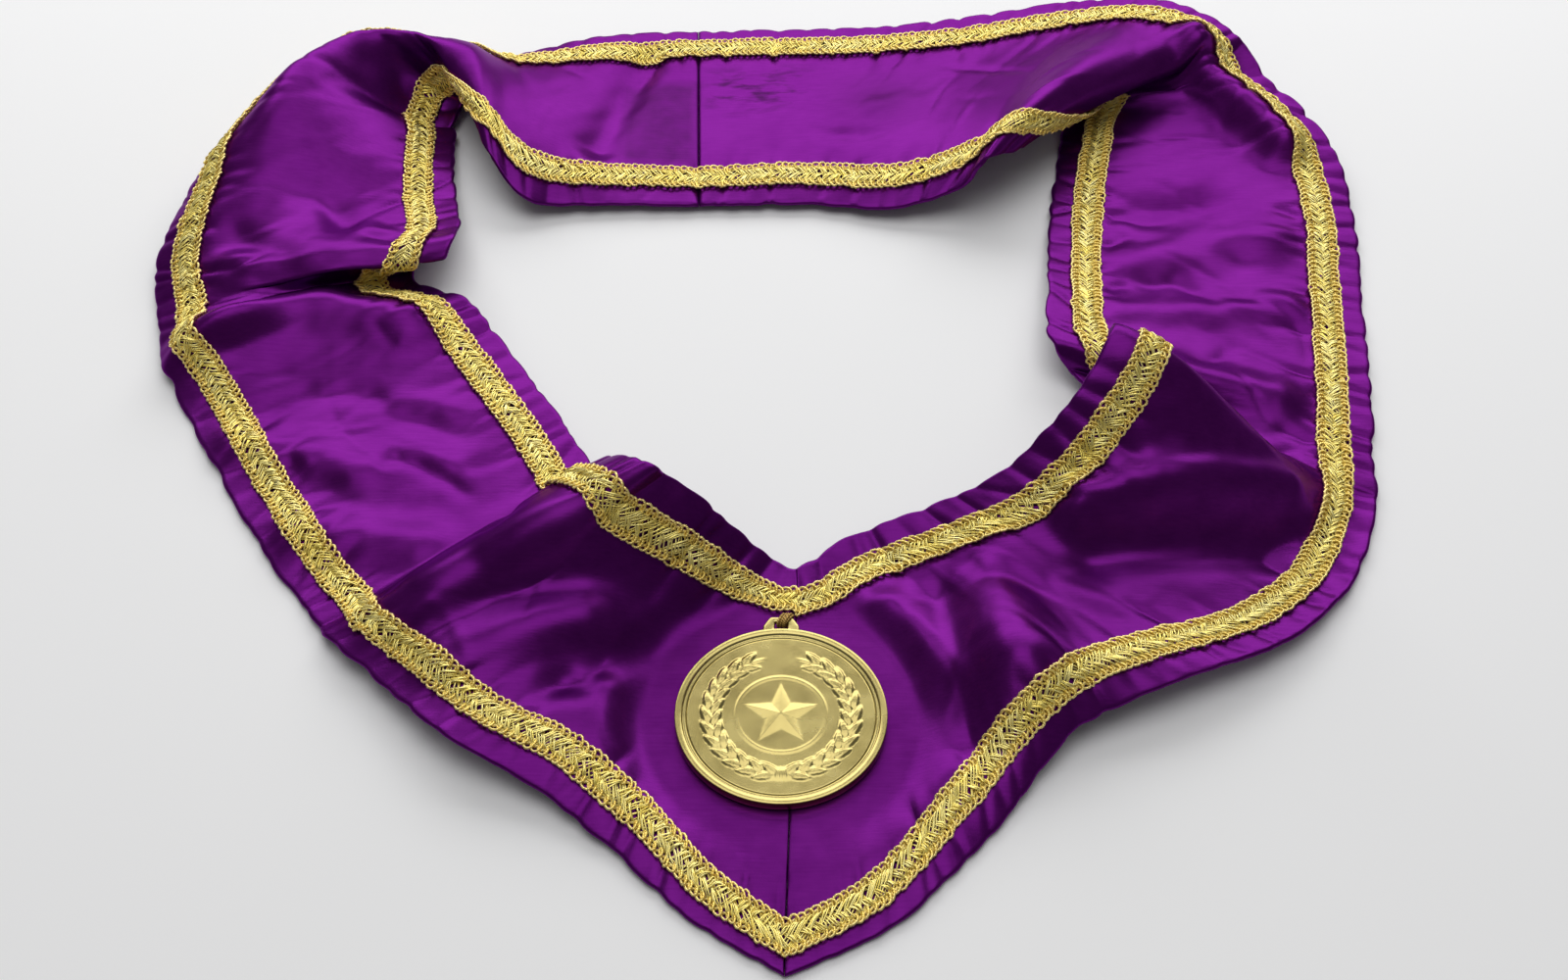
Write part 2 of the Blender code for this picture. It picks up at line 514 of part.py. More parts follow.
def build():
    clear_scene()
    satin = finish("purple_satin", (0.18, 0.02, 0.30), 0.35, 0.0)
    gold_braid = finish("gold_braid", (0.62, 0.43, 0.08), 0.40, 0.8)
    gold_metal = finish("gilt_metal", (0.72, 0.56, 0.24), 0.25, 1.0)
    gold_thread = finish("gold_thread", (0.45, 0.30, 0.08), 0.50, 0.5)
    centre = medal_place()
    loop, normal, back = collar_grid(centre)
    right_rows = np.arange(0, back + 1)
    left_rows = np.arange(back, len(loop) + 1) % len(loop)
    satin_panel("satin_panel_right", loop, normal, right_rows, satin)
    satin_panel("satin_panel_left", loop, normal, left_rows, satin)
    braid("outer_braid", loop, normal, [1, 2], gold_braid)
    braid("inner_braid", loop, normal, [PLAIN_CELLS + 2, PLAIN_CELLS + 3], gold_braid)
    medal(centre, gold_metal)
    hanging_thread(centre, gold_thread)


build()
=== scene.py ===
"""Looks of the award collar: satin panels with their puckers and creases, two plaited metallic braids,
the struck medal and its hanging thread, on a pale surface under soft light.

The cloth's surface is worked out from the same sections across the strip as the solids, on a finer
grid. Metres, +Z up, the front V towards -Y.
"""

from collections import namedtuple
from itertools import product
from math import cos, pi, radians, sin

import bpy
import numpy as np
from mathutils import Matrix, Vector


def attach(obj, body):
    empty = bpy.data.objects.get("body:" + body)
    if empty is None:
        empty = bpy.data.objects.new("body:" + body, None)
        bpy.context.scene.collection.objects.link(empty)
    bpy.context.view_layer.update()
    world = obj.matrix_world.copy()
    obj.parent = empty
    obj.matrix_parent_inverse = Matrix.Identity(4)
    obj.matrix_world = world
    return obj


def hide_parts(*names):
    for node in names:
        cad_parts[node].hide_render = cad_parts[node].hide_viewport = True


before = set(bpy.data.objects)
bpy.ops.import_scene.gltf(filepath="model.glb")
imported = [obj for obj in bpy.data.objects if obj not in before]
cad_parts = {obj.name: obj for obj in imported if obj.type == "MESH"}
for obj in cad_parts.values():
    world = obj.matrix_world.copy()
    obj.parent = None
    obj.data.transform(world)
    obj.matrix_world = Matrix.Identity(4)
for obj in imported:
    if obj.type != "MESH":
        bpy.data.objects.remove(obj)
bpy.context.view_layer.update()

# Camera, at the photograph's place over the collar
CAMERA_PLACE = (0.007, -0.4513, 0.4756)
CAMERA_DOWN = radians(48.7)
FOCAL_PIXELS = 2070
PICTURE_WIDTH = 1600
PICTURE_HEIGHT = 1000
SENSOR_WIDTH = 36.0

# Collar
SPREAD = 0.414
REACH = 0.406
TIP_REACH = 0.2013
STRIP_WIDTH = 0.105
FOLD_HEIGHT = 0.050
CURL_LENGTH = 0.036
CURL_BEND = 0.0165
CLOTH_THICKNESS = 0.002
REST_MARGIN = 0.008
REST_RAMP = 0.014
BORDER_WIDTH = 0.0075
BRAID_WIDTH = 0.012
V_GATHER = 0.72
TIP_BORDER = 0.42
TIP_BORDER_REACH = 0.045

# Satin seen close: its turned edges, seams, and the creases that its sewing and wear leave
SATIN_WALL = 0.0017  # two layers, a little under the solid's thickness
EDGE_ROUND = 0.0012
SEAM_DIP = 0.0005
SEAM_ROUND = 0.0008
SEAM_WALL = 0.3  # share of the wall's thickness left at a seam
SEAM_GAP = 0.00015  # from each panel's end to the seam
FLOOR_GAP = 0.00005
ROW_STEP = 0.00135
PUCKER_PITCH = 0.0088
ROW_PITCH = 0.0085
PUCKER_RISE = 0.00058
CREASE_DEPTH = 1.6 * PUCKER_RISE
PUCKER_PULL = 0.0008  # how far a crease draws the edge in
CREASE_SLANT = 0.22
CREASE_BEND = 7.0
CREASE_FADE = 0.003  # past the braid, at least
CREASE_LONG_FADE = 0.020  # more than that, for a few
CREASE_DEPTHS = (0.35, 1.25)  # as shares
CREASE_WIDTHS = (0.0012, 0.0023)
SWELL_SHARE = 0.38  # beside a crease
SWELL_SPREAD = 2.6
PULL_SPREAD = 1.8
FINE_CREASES = 150
FINE_STARTS = (0.016, 0.085)  # in from the outer edge
FINE_LENGTHS = (0.006, 0.020)
FINE_WIDTHS = (0.0010, 0.0024)
FINE_RISE = 0.00034
UNEVENNESS = ((0.00022, 0.012), (0.00030, 0.028))  # rise and wave

# Braid seen close
LOOP_CENTRE = 0.0023  # in from the braid's edge
LOOP_PITCH = 0.0022
LOOP_HALF_WIDE = 0.00142  # of a loop of the edge cord, across the braid
LOOP_HALF_LONG = 0.00094
LOOP_RISE = 0.00036
CORD_RADIUS = 0.00042
CORD_STEPS = 10  # in one loop
CORD_SIDES = 5
LOOP_STRAY = 0.00018  # across, from loop to loop
LOOP_LIFT_STRAY = 0.0001
LOOP_REACH = (-0.1, 0.45)  # least and most extra reach of a loop, as shares
LOOP_LEAN = 0.35
CORD_UNEVEN = 0.12
CORE_STEPS = 4  # the core is the plain cord through the loops
CORE_RADIUS = 1.15 * CORD_RADIUS
CORE_SWAY = 0.00045
CORE_STRAY = 0.0002
CORE_LIFT = 0.00015
CORE_BOB = 0.0002
PLAIT_WAVE = 0.0112  # along the braid, a bundle's way across and back
PLAIT_HALF = 0.0027
STRAND_WIDTH = 0.00058
STRAND_THICKNESS = 0.00030
STRAND_GAP = 0.00056
STRAY_PITCH = 0.0021  # a strand strays to a new side about this often
STRAY_ACROSS = 0.00030
STRAY_UP = 0.00022
PLAIT_STEPS = 11  # in one wave
PLAIT_SWELL = 0.00035
PLAIT_LIFT = SATIN_WALL / 2 + 0.0011
PLAIT_LAP = 0.00042  # a bundle's rise and fall over the next
PLAIT_TUCK = 0.0002  # under the edge cords
STRAND_DRIFT = 0.00016
ALONG_DRIFT = 0.0005
LIFT_DRIFT = 0.00012

# Medal, lug and thread
MEDAL_DIAMETER = 0.060
MEDAL_THICKNESS = 0.0030
RIM_WIDTH = 0.0021
FIELD_DEPTH = 0.0006
RELIEF_RISE = 0.0007
GROOVE_DEPTH = 0.00025
MEDAL_OFFSET = -0.0043
LUG_WIDTH = 0.0106
LUG_TOP_WIDTH = 0.0064
LUG_BAR = 0.0018
LUG_THICKNESS = 0.0016
SLOT_WIDTH = 0.0037
SLOT_HEIGHT = 0.0024
THREAD_THICKNESS = 0.0011
LAY_GAP = 0.0003
MEDAL_SEAT = CLOTH_THICKNESS + LAY_GAP

# Medal, lug and thread seen close
DISC_POINTS = 384  # in each ring
DISC_MIDDLE = 0.0003
SHARP_ANGLE = 50  # degrees; flatter edges of the metal are shaded smooth
RIM_BEVEL = 0.00022
RIM_FOOT = 0.0001
RIM_SHOULDER = (0.00012, 0.00015)  # out from the rim's inner edge, down from its top
RIM_SLOPE = 0.0003
STAR_POINT = 0.36  # these four as shares of the medal's radius
STAR_NOTCH = 0.16
STAR_RING = 0.43
WREATH_RING = 0.66
LEAF_PAIRS = 12  # on each side
LEAF_START = 0.20  # these four in radians
LEAF_PITCH = 0.222
LEAF_STAGGER = 0.05
LEAF_LEAN = 0.42
LEAF_OFFSET = 0.0016  # in or out from the stem
LEAF_HALF_LONG = 0.0031
LEAF_HALF_WIDE = 0.00135
LEAF_TAPER = 0.0027
STEM_HALF = 0.00035
STEM_GAP = 0.2  # half, at the top, in radians
KNOT_HALF = (0.0028, 0.0018)
KNOT_RIBS = 5200  # radians of its ribs in a metre
RING_HALF = 0.00022
GROOVE_HALF = 0.00018
GROOVE_IN = 0.0011  # from the rim
LUG_ROOT = 0.0012  # how far it reaches in over the disc
LUG_POINTS = 12  # on each side of its outline
LUG_ROUNDS = 5
LUG_KNEE = 0.4  # up the slot
LUG_SQUARE = 0.45
LUG_SIDES = 16
THREAD_RADIUS = 0.00030
THREAD_POINTS = 44
THREAD_SIDES = 8
THREAD_SQUARE = 0.75
THREAD_UNEVEN = 0.05
THREAD_SLACK = (0.00008, 0.00035, 0.0001)  # in the slot, past the bar, over and under it
THREAD_SPREAD = 0.00125  # half, at the slot
THREAD_FAN = 0.0004
THREAD_LEAN = 0.45
THREAD_SWAY = 0.00018
THREAD_LOWEST = 0.0016

# Colours, the darker first where there are two
SATIN_COLOURS = ((0.086, 0.0040, 0.118, 1), (0.124, 0.0080, 0.166, 1))
# one dark colour for the wear marks on the back strip and for its patch of painted shade
SATIN_WEAR_AND_SHADE = (0.020, 0.003, 0.026, 1)
SATIN_TINT = (0.86, 0.50, 0.94, 1)
CORD_COLOURS = ((0.80, 0.53, 0.06, 1), (1.0, 0.78, 0.19, 1))
# painted highlight: a paler colour along the ridge of each fine thread of the cords
CORD_THREAD_HIGHLIGHT = (0.98, 0.86, 0.42, 1)
# painted highlight: a paler colour on the outer tip of each loop of the edge cords
CORD_TIP_HIGHLIGHT = (1.0, 0.90, 0.50, 1)
STRAND_COLOURS = ((1.0, 0.80, 0.17, 1), (1.0, 0.90, 0.38, 1))
GILT_COLOURS = ((0.42, 0.34, 0.125, 1), (0.52, 0.43, 0.165, 1))
# painted shade and highlight of the hanging thread: dark for the twist's grooves, pale for its ridges
THREAD_SHADE_AND_HIGHLIGHT = ((0.28, 0.15, 0.025, 1), (0.68, 0.45, 0.13, 1))
FLOOR_COLOURS = ((0.91, 0.91, 0.92, 1), (0.94, 0.94, 0.94, 1))

# Marks on the back strip: two corners in plan, and how soft the edge is. The print and the scuffs are wear;
# the last box is a soft patch of painted shade
PRINT_EDGE = ((-0.053, 0.117), (-0.024, 0.166), 0.0012)
PRINT_INSIDE = ((-0.050, 0.120), (-0.027, 0.163), 0.0012)
SCUFFED = ((-0.021, 0.150), (0.018, 0.172), 0.006)
# painted shade: this last box is a soft dark patch standing for shade, not wear
PAINTED_SHADE_BOX = ((0.030, 0.140), (0.058, 0.164), 0.012)

# Stage
FLOOR_HALF = 3.0
FLOOR_LEVEL = -0.0002
ROOM_LIGHT = 0.16

FIELDS = "name x y bearing span outer outer_third inner_third inner curl"
Section = namedtuple("Section", FIELDS, defaults=[0])
# One row for each section across the strip, from the front seam to the back seam. x and y place its
# outer edge, as shares of SPREAD from the middle and of REACH from the front tip. bearing is the way
# it runs to the inner edge, in degrees from +X, and span its length in plan as a share of STRIP_WIDTH.
# Then come heights at the outer edge, its thirds and the inner edge, as shares of FOLD_HEIGHT, before
# the outer edge curls down by the last column, in degrees.
RIGHT_SECTIONS = [
    Section("front_seam", 0.017, 0.000, 88.3, 1.28, 0.00, 0.00, 0.00, 0.06),
    Section("tip_side", 0.083, 0.033, 98.9, 1.19, 0.00, 0.02, 0.00, 0.05),
    Section("front_a", 0.153, 0.104, 113.4, 1.03, 0.00, 0.12, 0.04, 0.05),
    Section("front_b", 0.215, 0.178, 128.5, 0.91, 0.12, 0.30, 0.10, 0.08),
    Section("front_c", 0.289, 0.214, 137.0, 0.92, 0.20, 0.20, 0.16, 0.16),
    Section("front_d", 0.371, 0.256, 145.2, 0.92, 0.12, 0.14, 0.30, 0.40),
    Section("front_e", 0.428, 0.316, 151.0, 0.89, 0.04, 0.12, 0.54, 0.82),
    Section("crest", 0.456, 0.380, 158.0, 0.86, 0.02, 0.22, 0.74, 1.00),
    Section("crest_back", 0.461, 0.397, 157.1, 0.88, 0.02, 0.16, 0.52, 0.72),
    Section("valley", 0.464, 0.417, 157.0, 0.91, 0.02, 0.06, 0.08, 0.10),
    Section("lip_face", 0.467, 0.443, 160.1, 0.96, 0.02, 0.06, 0.09, 0.11),
    Section("arm_lip", 0.472, 0.470, 164.0, 1.01, 0.02, 0.08, 0.19, 0.25),
    Section("arm_a", 0.482, 0.545, 165.5, 1.03, 0.02, 0.06, 0.10, 0.20),
    Section("arm_b", 0.492, 0.628, 167.7, 1.03, 0.00, 0.04, 0.04, 0.08),
    Section("arm_c", 0.502, 0.715, 171.5, 1.02, 0.02, 0.06, 0.04, 0.02),
    Section("arm_d", 0.499, 0.795, 174.0, 0.95, 0.10, 0.06, 0.04, 0.00),
    Section("under_a", 0.478, 0.856, 178.0, 0.83, 0.14, 0.10, 0.04, 0.00),
    Section("under_valley", 0.452, 0.894, 185.4, 0.71, 0.18, 0.10, 0.12, 0.11),
    Section("under_b", 0.442, 0.918, 199.5, 0.76, 0.22, 0.16, 0.21, 0.22),
    Section("roll_low", 0.426, 0.944, 219.3, 0.99, 0.29, 0.32, 0.34, 0.36),
    Section("roll", 0.406, 0.962, 226.3, 1.12, 0.33, 0.43, 0.49, 0.42),
    Section("back_a", 0.372, 0.978, 232.3, 1.19, 0.37, 0.48, 0.60, 0.48),
    Section("back_b", 0.290, 0.990, 244.0, 1.12, 0.31, 0.34, 0.42, 0.24),
    Section("back_c", 0.186, 0.990, 253.2, 1.07, 0.16, 0.16, 0.20, 0.08),
    Section("back_d", 0.077, 0.990, 261.9, 0.99, 0.06, 0.08, 0.10, 0.04),
    Section("back_seam", -0.063, 0.988, 271.7, 0.98, 0.04, 0.06, 0.06, 0.04),
]
LEFT_SECTIONS = [
    Section("front_seam", 0.017, 0.000, 88.3, 1.28, 0.00, 0.00, 0.00, 0.06),
    Section("tip_side", -0.043, 0.040, 77.5, 1.15, 0.00, 0.02, 0.00, 0.05),
    Section("front_a", -0.097, 0.092, 65.8, 1.03, 0.02, 0.08, 0.02, 0.08),
    Section("front_b", -0.150, 0.134, 54.7, 0.98, 0.10, 0.16, 0.10, 0.20),
    Section("front_c", -0.204, 0.164, 47.0, 0.97, 0.18, 0.20, 0.32, 0.48),
    Section("front_d", -0.256, 0.213, 34.9, 0.92, 0.12, 0.26, 0.50, 0.72),
    Section("crest", -0.303, 0.259, 21.5, 0.96, 0.08, 0.28, 0.56, 0.82),
    Section("crest_back", -0.310, 0.270, 28.0, 0.91, 0.04, 0.20, 0.44, 0.58),
    Section("valley", -0.317, 0.282, 34.5, 0.93, 0.02, 0.06, 0.08, 0.08),
    Section("arm_a", -0.339, 0.310, 38.0, 0.97, 0.00, 0.04, 0.06, 0.06),
    Section("arm_b", -0.371, 0.358, 39.0, 0.98, 0.00, 0.04, 0.08, 0.06),
    Section("arm_c", -0.411, 0.424, 36.5, 0.97, 0.00, 0.04, 0.08, 0.08),
    Section("arm_d", -0.447, 0.487, 30.5, 0.94, 0.00, 0.08, 0.12, 0.12),
    Section("kink_slope", -0.464, 0.517, 27.7, 0.88, 0.02, 0.16, 0.12, 0.10),
    Section("kink_ridge", -0.475, 0.538, 26.7, 0.85, 0.04, 0.34, 0.12, 0.06),
    Section("kink_valley", -0.481, 0.562, 26.2, 0.84, 0.04, 0.18, 0.06, 0.04),
    Section("kink_face", -0.489, 0.585, 17.5, 0.89, 0.03, 0.16, 0.20, 0.25),
    Section("kink_lip", -0.495, 0.611, 4.1, 0.95, 0.02, 0.19, 0.27, 0.34),
    Section("kink_top", -0.498, 0.623, 4.3, 0.98, 0.02, 0.23, 0.32, 0.40),
    Section("arm_e", -0.503, 0.643, 7.0, 1.01, 0.02, 0.22, 0.24, 0.30),
    Section("arm_f", -0.503, 0.677, 11.2, 0.98, 0.06, 0.28, 0.20, 0.16),
    Section("arm_g", -0.492, 0.740, 11.5, 0.90, 0.10, 0.42, 0.30, 0.08),
    Section("dome_a", -0.482, 0.794, 9.8, 0.84, 0.32, 0.56, 0.32, 0.04, 30),
    Section("dome_b", -0.454, 0.873, -8.5, 0.71, 0.60, 0.66, 0.20, 0.06, 68),
    Section("dome_valley", -0.411, 0.927, -20.5, 0.63, 0.62, 0.66, 0.26, 0.14, 74),
    Section("dome_c", -0.372, 0.947, -37.7, 0.64, 0.62, 0.62, 0.40, 0.28, 76),
    Section("dome_d", -0.324, 0.956, -62.4, 0.68, 0.56, 0.60, 0.48, 0.36, 72),
    Section("dome_e", -0.278, 0.956, -77.0, 0.76, 0.38, 0.54, 0.50, 0.34, 40),
    Section("back_a", -0.239, 0.949, -82.7, 0.83, 0.16, 0.34, 0.36, 0.18, 12),
    Section("back_b", -0.159, 0.975, -91.7, 0.94, 0.06, 0.14, 0.18, 0.06),
    Section("back_c", -0.116, 0.983, -90.0, 0.96, 0.05, 0.10, 0.10, 0.05),
    Section("back_seam", -0.063, 0.988, -88.3, 0.98, 0.04, 0.06, 0.06, 0.04),
]

Dent = namedtuple("Dent", "name x0 y0 x1 y1 rise width")
# Ridges and hollows of the satin between those sections, each along a line in plan. x and y are
# shares of SPREAD and REACH, rise a share of FOLD_HEIGHT and width a share of STRIP_WIDTH.
DENTS = [
    Dent("right_upper_ridge", 0.232, 0.354, 0.389, 0.388, 0.14, 0.08),
    Dent("right_hollow", 0.240, 0.328, 0.376, 0.345, -0.08, 0.10),
    Dent("right_front_ridge", 0.090, 0.290, 0.110, 0.225, 0.07, 0.10),
    Dent("right_front_hollow", 0.128, 0.295, 0.142, 0.173, -0.10, 0.10),
    Dent("right_front_swell", 0.165, 0.305, 0.178, 0.226, 0.09, 0.13),
    Dent("left_hollow", -0.184, 0.288, -0.080, 0.292, -0.10, 0.13),
    Dent("left_swell", -0.214, 0.230, -0.120, 0.262, 0.08, 0.11),
    Dent("right_arm_wave_a", 0.300, 0.655, 0.420, 0.690, 0.06, 0.11),
    Dent("right_arm_wave_b", 0.290, 0.590, 0.420, 0.605, 0.05, 0.09),
    Dent("right_arm_wave_c", 0.300, 0.520, 0.400, 0.500, 0.07, 0.09),
    Dent("left_arm_wave_a", -0.400, 0.455, -0.300, 0.420, 0.06, 0.10),
    Dent("left_arm_wave_b", -0.340, 0.365, -0.250, 0.350, 0.06, 0.10),
    Dent("left_arm_wave_c", -0.420, 0.640, -0.330, 0.665, 0.07, 0.11),
    Dent("left_arm_swell", -0.343, 0.592, -0.283, 0.575, 0.12, 0.12),
    Dent("right_corner_ridge", 0.386, 0.914, 0.452, 0.806, 0.18, 0.09),
    Dent("back_hollow", -0.146, 0.807, -0.109, 0.936, -0.10, 0.09),
]


# Surface of the cloth


def section_values(sections):
    """Plan position of both edges, the four heights and the curl of each section, one array row each."""
    table = np.array([row[1:] for row in sections], float)
    outer = table[:, 0:2] * (SPREAD, REACH)
    bearing = np.radians(table[:, 2])
    reach = STRIP_WIDTH * table[:, 3]
    inner = outer + reach[:, None] * np.stack([np.cos(bearing), np.sin(bearing)], axis=1)
    outer[:, 1] -= TIP_REACH
    inner[:, 1] -= TIP_REACH
    return np.hstack([outer, inner, table[:, 4:8] * FOLD_HEIGHT, np.radians(table[:, 8:])])


def tangents(stations, values):
    """Slopes at the sections: a weighted mean of both sides, level where a height has its peak."""
    steps = np.diff(stations)[:, None]
    rates = np.diff(values, axis=0) / steps
    before, after = rates[:-1], rates[1:]
    mean = (before * steps[1:] + after * steps[:-1]) / (steps[1:] + steps[:-1])
    same_way = before * after > 0
    total = np.where(same_way, before + after, 1.0)
    mild = np.where(same_way, 2 * before * after / total, 0.0)
    mean[:, 4:] = mild[:, 4:]
    return np.vstack([rates[:1], mean, rates[-1:]])


def hermite(stations, values, at):
    """Cubic curve through the section values with those slopes, read at the stations in at."""
    slopes = tangents(stations, values)
    i = np.clip(np.searchsorted(stations, at, side="right") - 1, 0, len(stations) - 2)
    width = (stations[i + 1] - stations[i])[:, None]
    s = (at - stations[i])[:, None] / width
    start = (2 * s**3 - 3 * s**2 + 1) * values[i] + (s**3 - 2 * s**2 + s) * width * slopes[i]
    end = (3 * s**2 - 2 * s**3) * values[i + 1] + (s**3 - s**2) * width * slopes[i + 1]
    return start + end


def across(rows, u):
    """Points at the shares u across each row: straight in plan, a cubic through its four heights.

    The outer side, CURL_LENGTH wide, then bends down: it turns by the row's curl round an arc
    CURL_BEND long and hangs straight from there.
    """
    plan = rows[:, None, 0:2] * (1 - u[..., None]) + rows[:, None, 2:4] * u[..., None]
    a, b, c, d = u, u - 1 / 3, u - 2 / 3, u - 1
    weights = np.stack([-4.5 * b * c * d, 13.5 * a * c * d, -13.5 * a * b * d, 4.5 * a * b * c], -1)
    height = (weights * rows[:, None, 4:8]).sum(axis=-1)
    cross = rows[:, 2:4] - rows[:, 0:2]
    width = np.linalg.norm(cross, axis=1)
    inside = np.maximum(CURL_LENGTH - u * width[:, None], 0)
    bent = np.minimum(inside, CURL_BEND)
    hanging = inside - bent
    bend = np.maximum(rows[:, 8:9], 1e-6) / CURL_BEND
    inward = inside - np.sin(bend * bent) / bend - hanging * np.cos(rows[:, 8:9])
    plan += inward[..., None] * (cross / width[:, None])[:, None, :]
    height -= (1 - np.cos(bend * bent)) / bend + hanging * np.sin(rows[:, 8:9])
    return np.concatenate([plan, height[..., None]], axis=-1)


def line_distance(points, x0, y0, x1, y1):
    """Distance in plan from each point to the line between two ends."""
    start = np.array([x0 * SPREAD, y0 * REACH - TIP_REACH])
    line = np.array([x1 * SPREAD, y1 * REACH - TIP_REACH]) - start
    offset = points[..., :2] - start
    share = np.clip(offset @ line / (line @ line), 0, 1)
    return np.linalg.norm(offset - share[..., None] * line, axis=-1)


def rest_ramp(points, medal_centre):
    """0 under the medal and a margin round it, 1 further out, smooth between."""
    away = np.linalg.norm(points[..., :2] - medal_centre, axis=-1)
    ramp = np.clip((away - MEDAL_DIAMETER / 2 - REST_MARGIN) / REST_RAMP, 0, 1)
    return ramp**2 * (3 - 2 * ramp)


def dented(points, medal_centre):
    """Adds the dents as bells round their lines, and lays the cloth flat under the medal."""
    points = points.copy()
    for dent in DENTS:
        away = line_distance(points, dent.x0, dent.y0, dent.x1, dent.y1)
        bell = np.exp(-1.5 * (away / (dent.width * STRIP_WIDTH)) ** 2)
        points[..., 2] += dent.rise * FOLD_HEIGHT * bell
    points[..., 2] = np.maximum(points[..., 2], 0) * rest_ramp(points, medal_centre)
    return points


def bell(offset):
    """A bell curve: 1 at 0, and close to 0 beyond 2 on either side."""
    return np.exp(-(offset**2))


def unit(vectors):
    """Each vector at length 1."""
    return vectors / np.maximum(np.linalg.norm(vectors, axis=-1, keepdims=True), 1e-12)


def run_across(points):
    """Length run across each row of points, from 0 at its outer edge."""
    steps = np.linalg.norm(np.diff(points, axis=1), axis=2)
    return np.pad(np.cumsum(steps, axis=1), ((0, 0), (1, 0)))


def edge_stretch(rows, first, second):
    """How much wider a band beside the edge gets along each row, where the row crosses it slantwise."""
    edge = np.gradient(rows[:, first : first + 2], axis=0)
    cross = rows[:, second : second + 2] - rows[:, first : first + 2]
    sine = np.abs(edge[:, 0] * cross[:, 1] - edge[:, 1] * cross[:, 0])
    sine /= np.linalg.norm(edge, axis=1) * np.linalg.norm(cross, axis=1)
    stretch = 1 / np.clip(sine, 0.75, 1)
    padded = np.pad(stretch, 2, mode="edge")
    return np.convolve(padded, np.ones(5) / 5, mode="valid")


def band_marks(rows, profile):
    """Shares across each row at the edges of the borders and of the braids: six marks a row."""
    fine = np.linspace(0, 1, 49)
    points = profile(rows, np.tile(fine, (len(rows), 1)))
    run = run_across(points)
    length = run[:, -1:]
    outer = edge_stretch(rows, 0, 2)[:, None]
    inner = edge_stretch(rows, 2, 0)[:, None]
    notch = np.linalg.norm(rows[:, 2:4] - rows[0, 2:4], axis=1)[:, None]
    gather = 1 - (1 - V_GATHER) * bell(notch / BRAID_WIDTH)
    tip = np.linalg.norm(rows[:, 0:2] - rows[0, 0:2], axis=1)[:, None]
    border = outer * BORDER_WIDTH * (1 - (1 - TIP_BORDER) * bell(tip / TIP_BORDER_REACH))
    low = border + outer * BRAID_WIDTH
    high = length - inner * BORDER_WIDTH - inner * gather * BRAID_WIDTH
    wanted = [0 * length, border, low, high, length - inner * BORDER_WIDTH, length]
    return np.stack([np.interp(w, r, fine) for w, r in zip(np.hstack(wanted), run)])


# Shares of each of the five bands where the fine grid has its columns, from the outer edge inwards
BORDER_SHARES = np.array([0, 0.01, 0.035, 0.075, 0.13, 0.24, 0.38, 0.54, 0.70, 0.86])
BANDS = [
    BORDER_SHARES,
    np.arange(4) / 4,
    np.arange(48) / 48,
    np.arange(4) / 4,
    np.append(0, 1 - BORDER_SHARES[::-1]),
]
BAND_STARTS = np.cumsum([0] + [len(band) for band in BANDS])
BAND_STARTS[-1] -= 1
MIDDLE_COLUMN = 40  # about halfway across the strip
SEAM_ROWS = np.array([0.0, 0.06, 0.14, 0.26, 0.42])  # close rows beside a seam, as shares of a step


def fine_columns(marks):
    """Shares across each row of all the fine columns, spaced inside each band by that band's shares."""
    parts = []
    for k, band in enumerate(BANDS):
        low, high = marks[:, k : k + 1], marks[:, k + 1 : k + 2]
        parts.append(low + (high - low) * band)
    return np.hstack(parts)


def side_surface(sections, medal_centre, row_step=ROW_STEP):
    """Middle surface of one panel: rows of points from the front seam to the back seam."""
    values = section_values(sections)
    points = across(values, np.tile([0.0, 0.5, 1.0], (len(values), 1)))
    step = np.linalg.norm(np.diff(points, axis=0), axis=2).max(axis=1)
    stations = np.concatenate([[0.0], np.cumsum(step)])
    parts = np.maximum(1, np.round(step / ROW_PITCH)).astype(int)
    ends = zip(stations[:-1], stations[1:], parts)
    at = np.concatenate([np.linspace(low, high, n, endpoint=False) for low, high, n in ends])
    coarse = np.append(at, stations[-1])

    def profile(rows, u):
        return dented(across(rows, u), medal_centre)

    marks = band_marks(hermite(stations, values, coarse), profile)
    fine = np.linspace(0, stations[-1], int(stations[-1] / row_step) + 1)
    marks = np.stack([np.interp(fine, coarse, mark) for mark in marks.T], axis=1)
    return profile(hermite(stations, values, fine), fine_columns(marks))


def medal_place():
    """Plan position of the medal's centre, its lug held by the thread a gap below the braid's tip."""
    rows = side_surface(RIGHT_SECTIONS, np.array([0.0, -REACH]), row_step=0.05)
    tip = rows[0, BAND_STARTS[3], :2]
    hang = 2 * LAY_GAP + THREAD_THICKNESS + LUG_BAR + SLOT_HEIGHT
    return tip, tip + (MEDAL_OFFSET, -hang - MEDAL_DIAMETER / 2)


def ring_way(path):
    """Direction along a ring of points at each, or of rows of points, not yet of length 1."""
    return np.roll(path, -1, axis=0) - np.roll(path, 1, axis=0)


def loop_normals(loop):
    """Upward unit normals of the closed loop of rows: along the rows' run, times across them."""
    return unit(np.cross(ring_way(loop), np.gradient(loop, axis=1)))


def run_length(line):
    """Length run along a line of points, starting from 0."""
    return np.append(0, np.cumsum(np.linalg.norm(np.diff(line, axis=0), axis=1)))


def ring_length(ring):
    """Length run to each point of a ring, and the length all the way round."""
    run = run_length(np.concatenate([ring, ring[:1]]))
    return run[:-1], run[-1]


def ring_offset(run, place, total):
    """How far each run lies past a place, the shorter way round the ring."""
    return (run - place + total / 2) % total - total / 2


def puckers(length, rng, pitch):
    """Jittered places along an edge where its braid gathers the satin, the first and last joined up."""
    count = int(length / pitch)
    return (np.arange(count) + rng.uniform(-0.33, 0.33, count)) * length / count


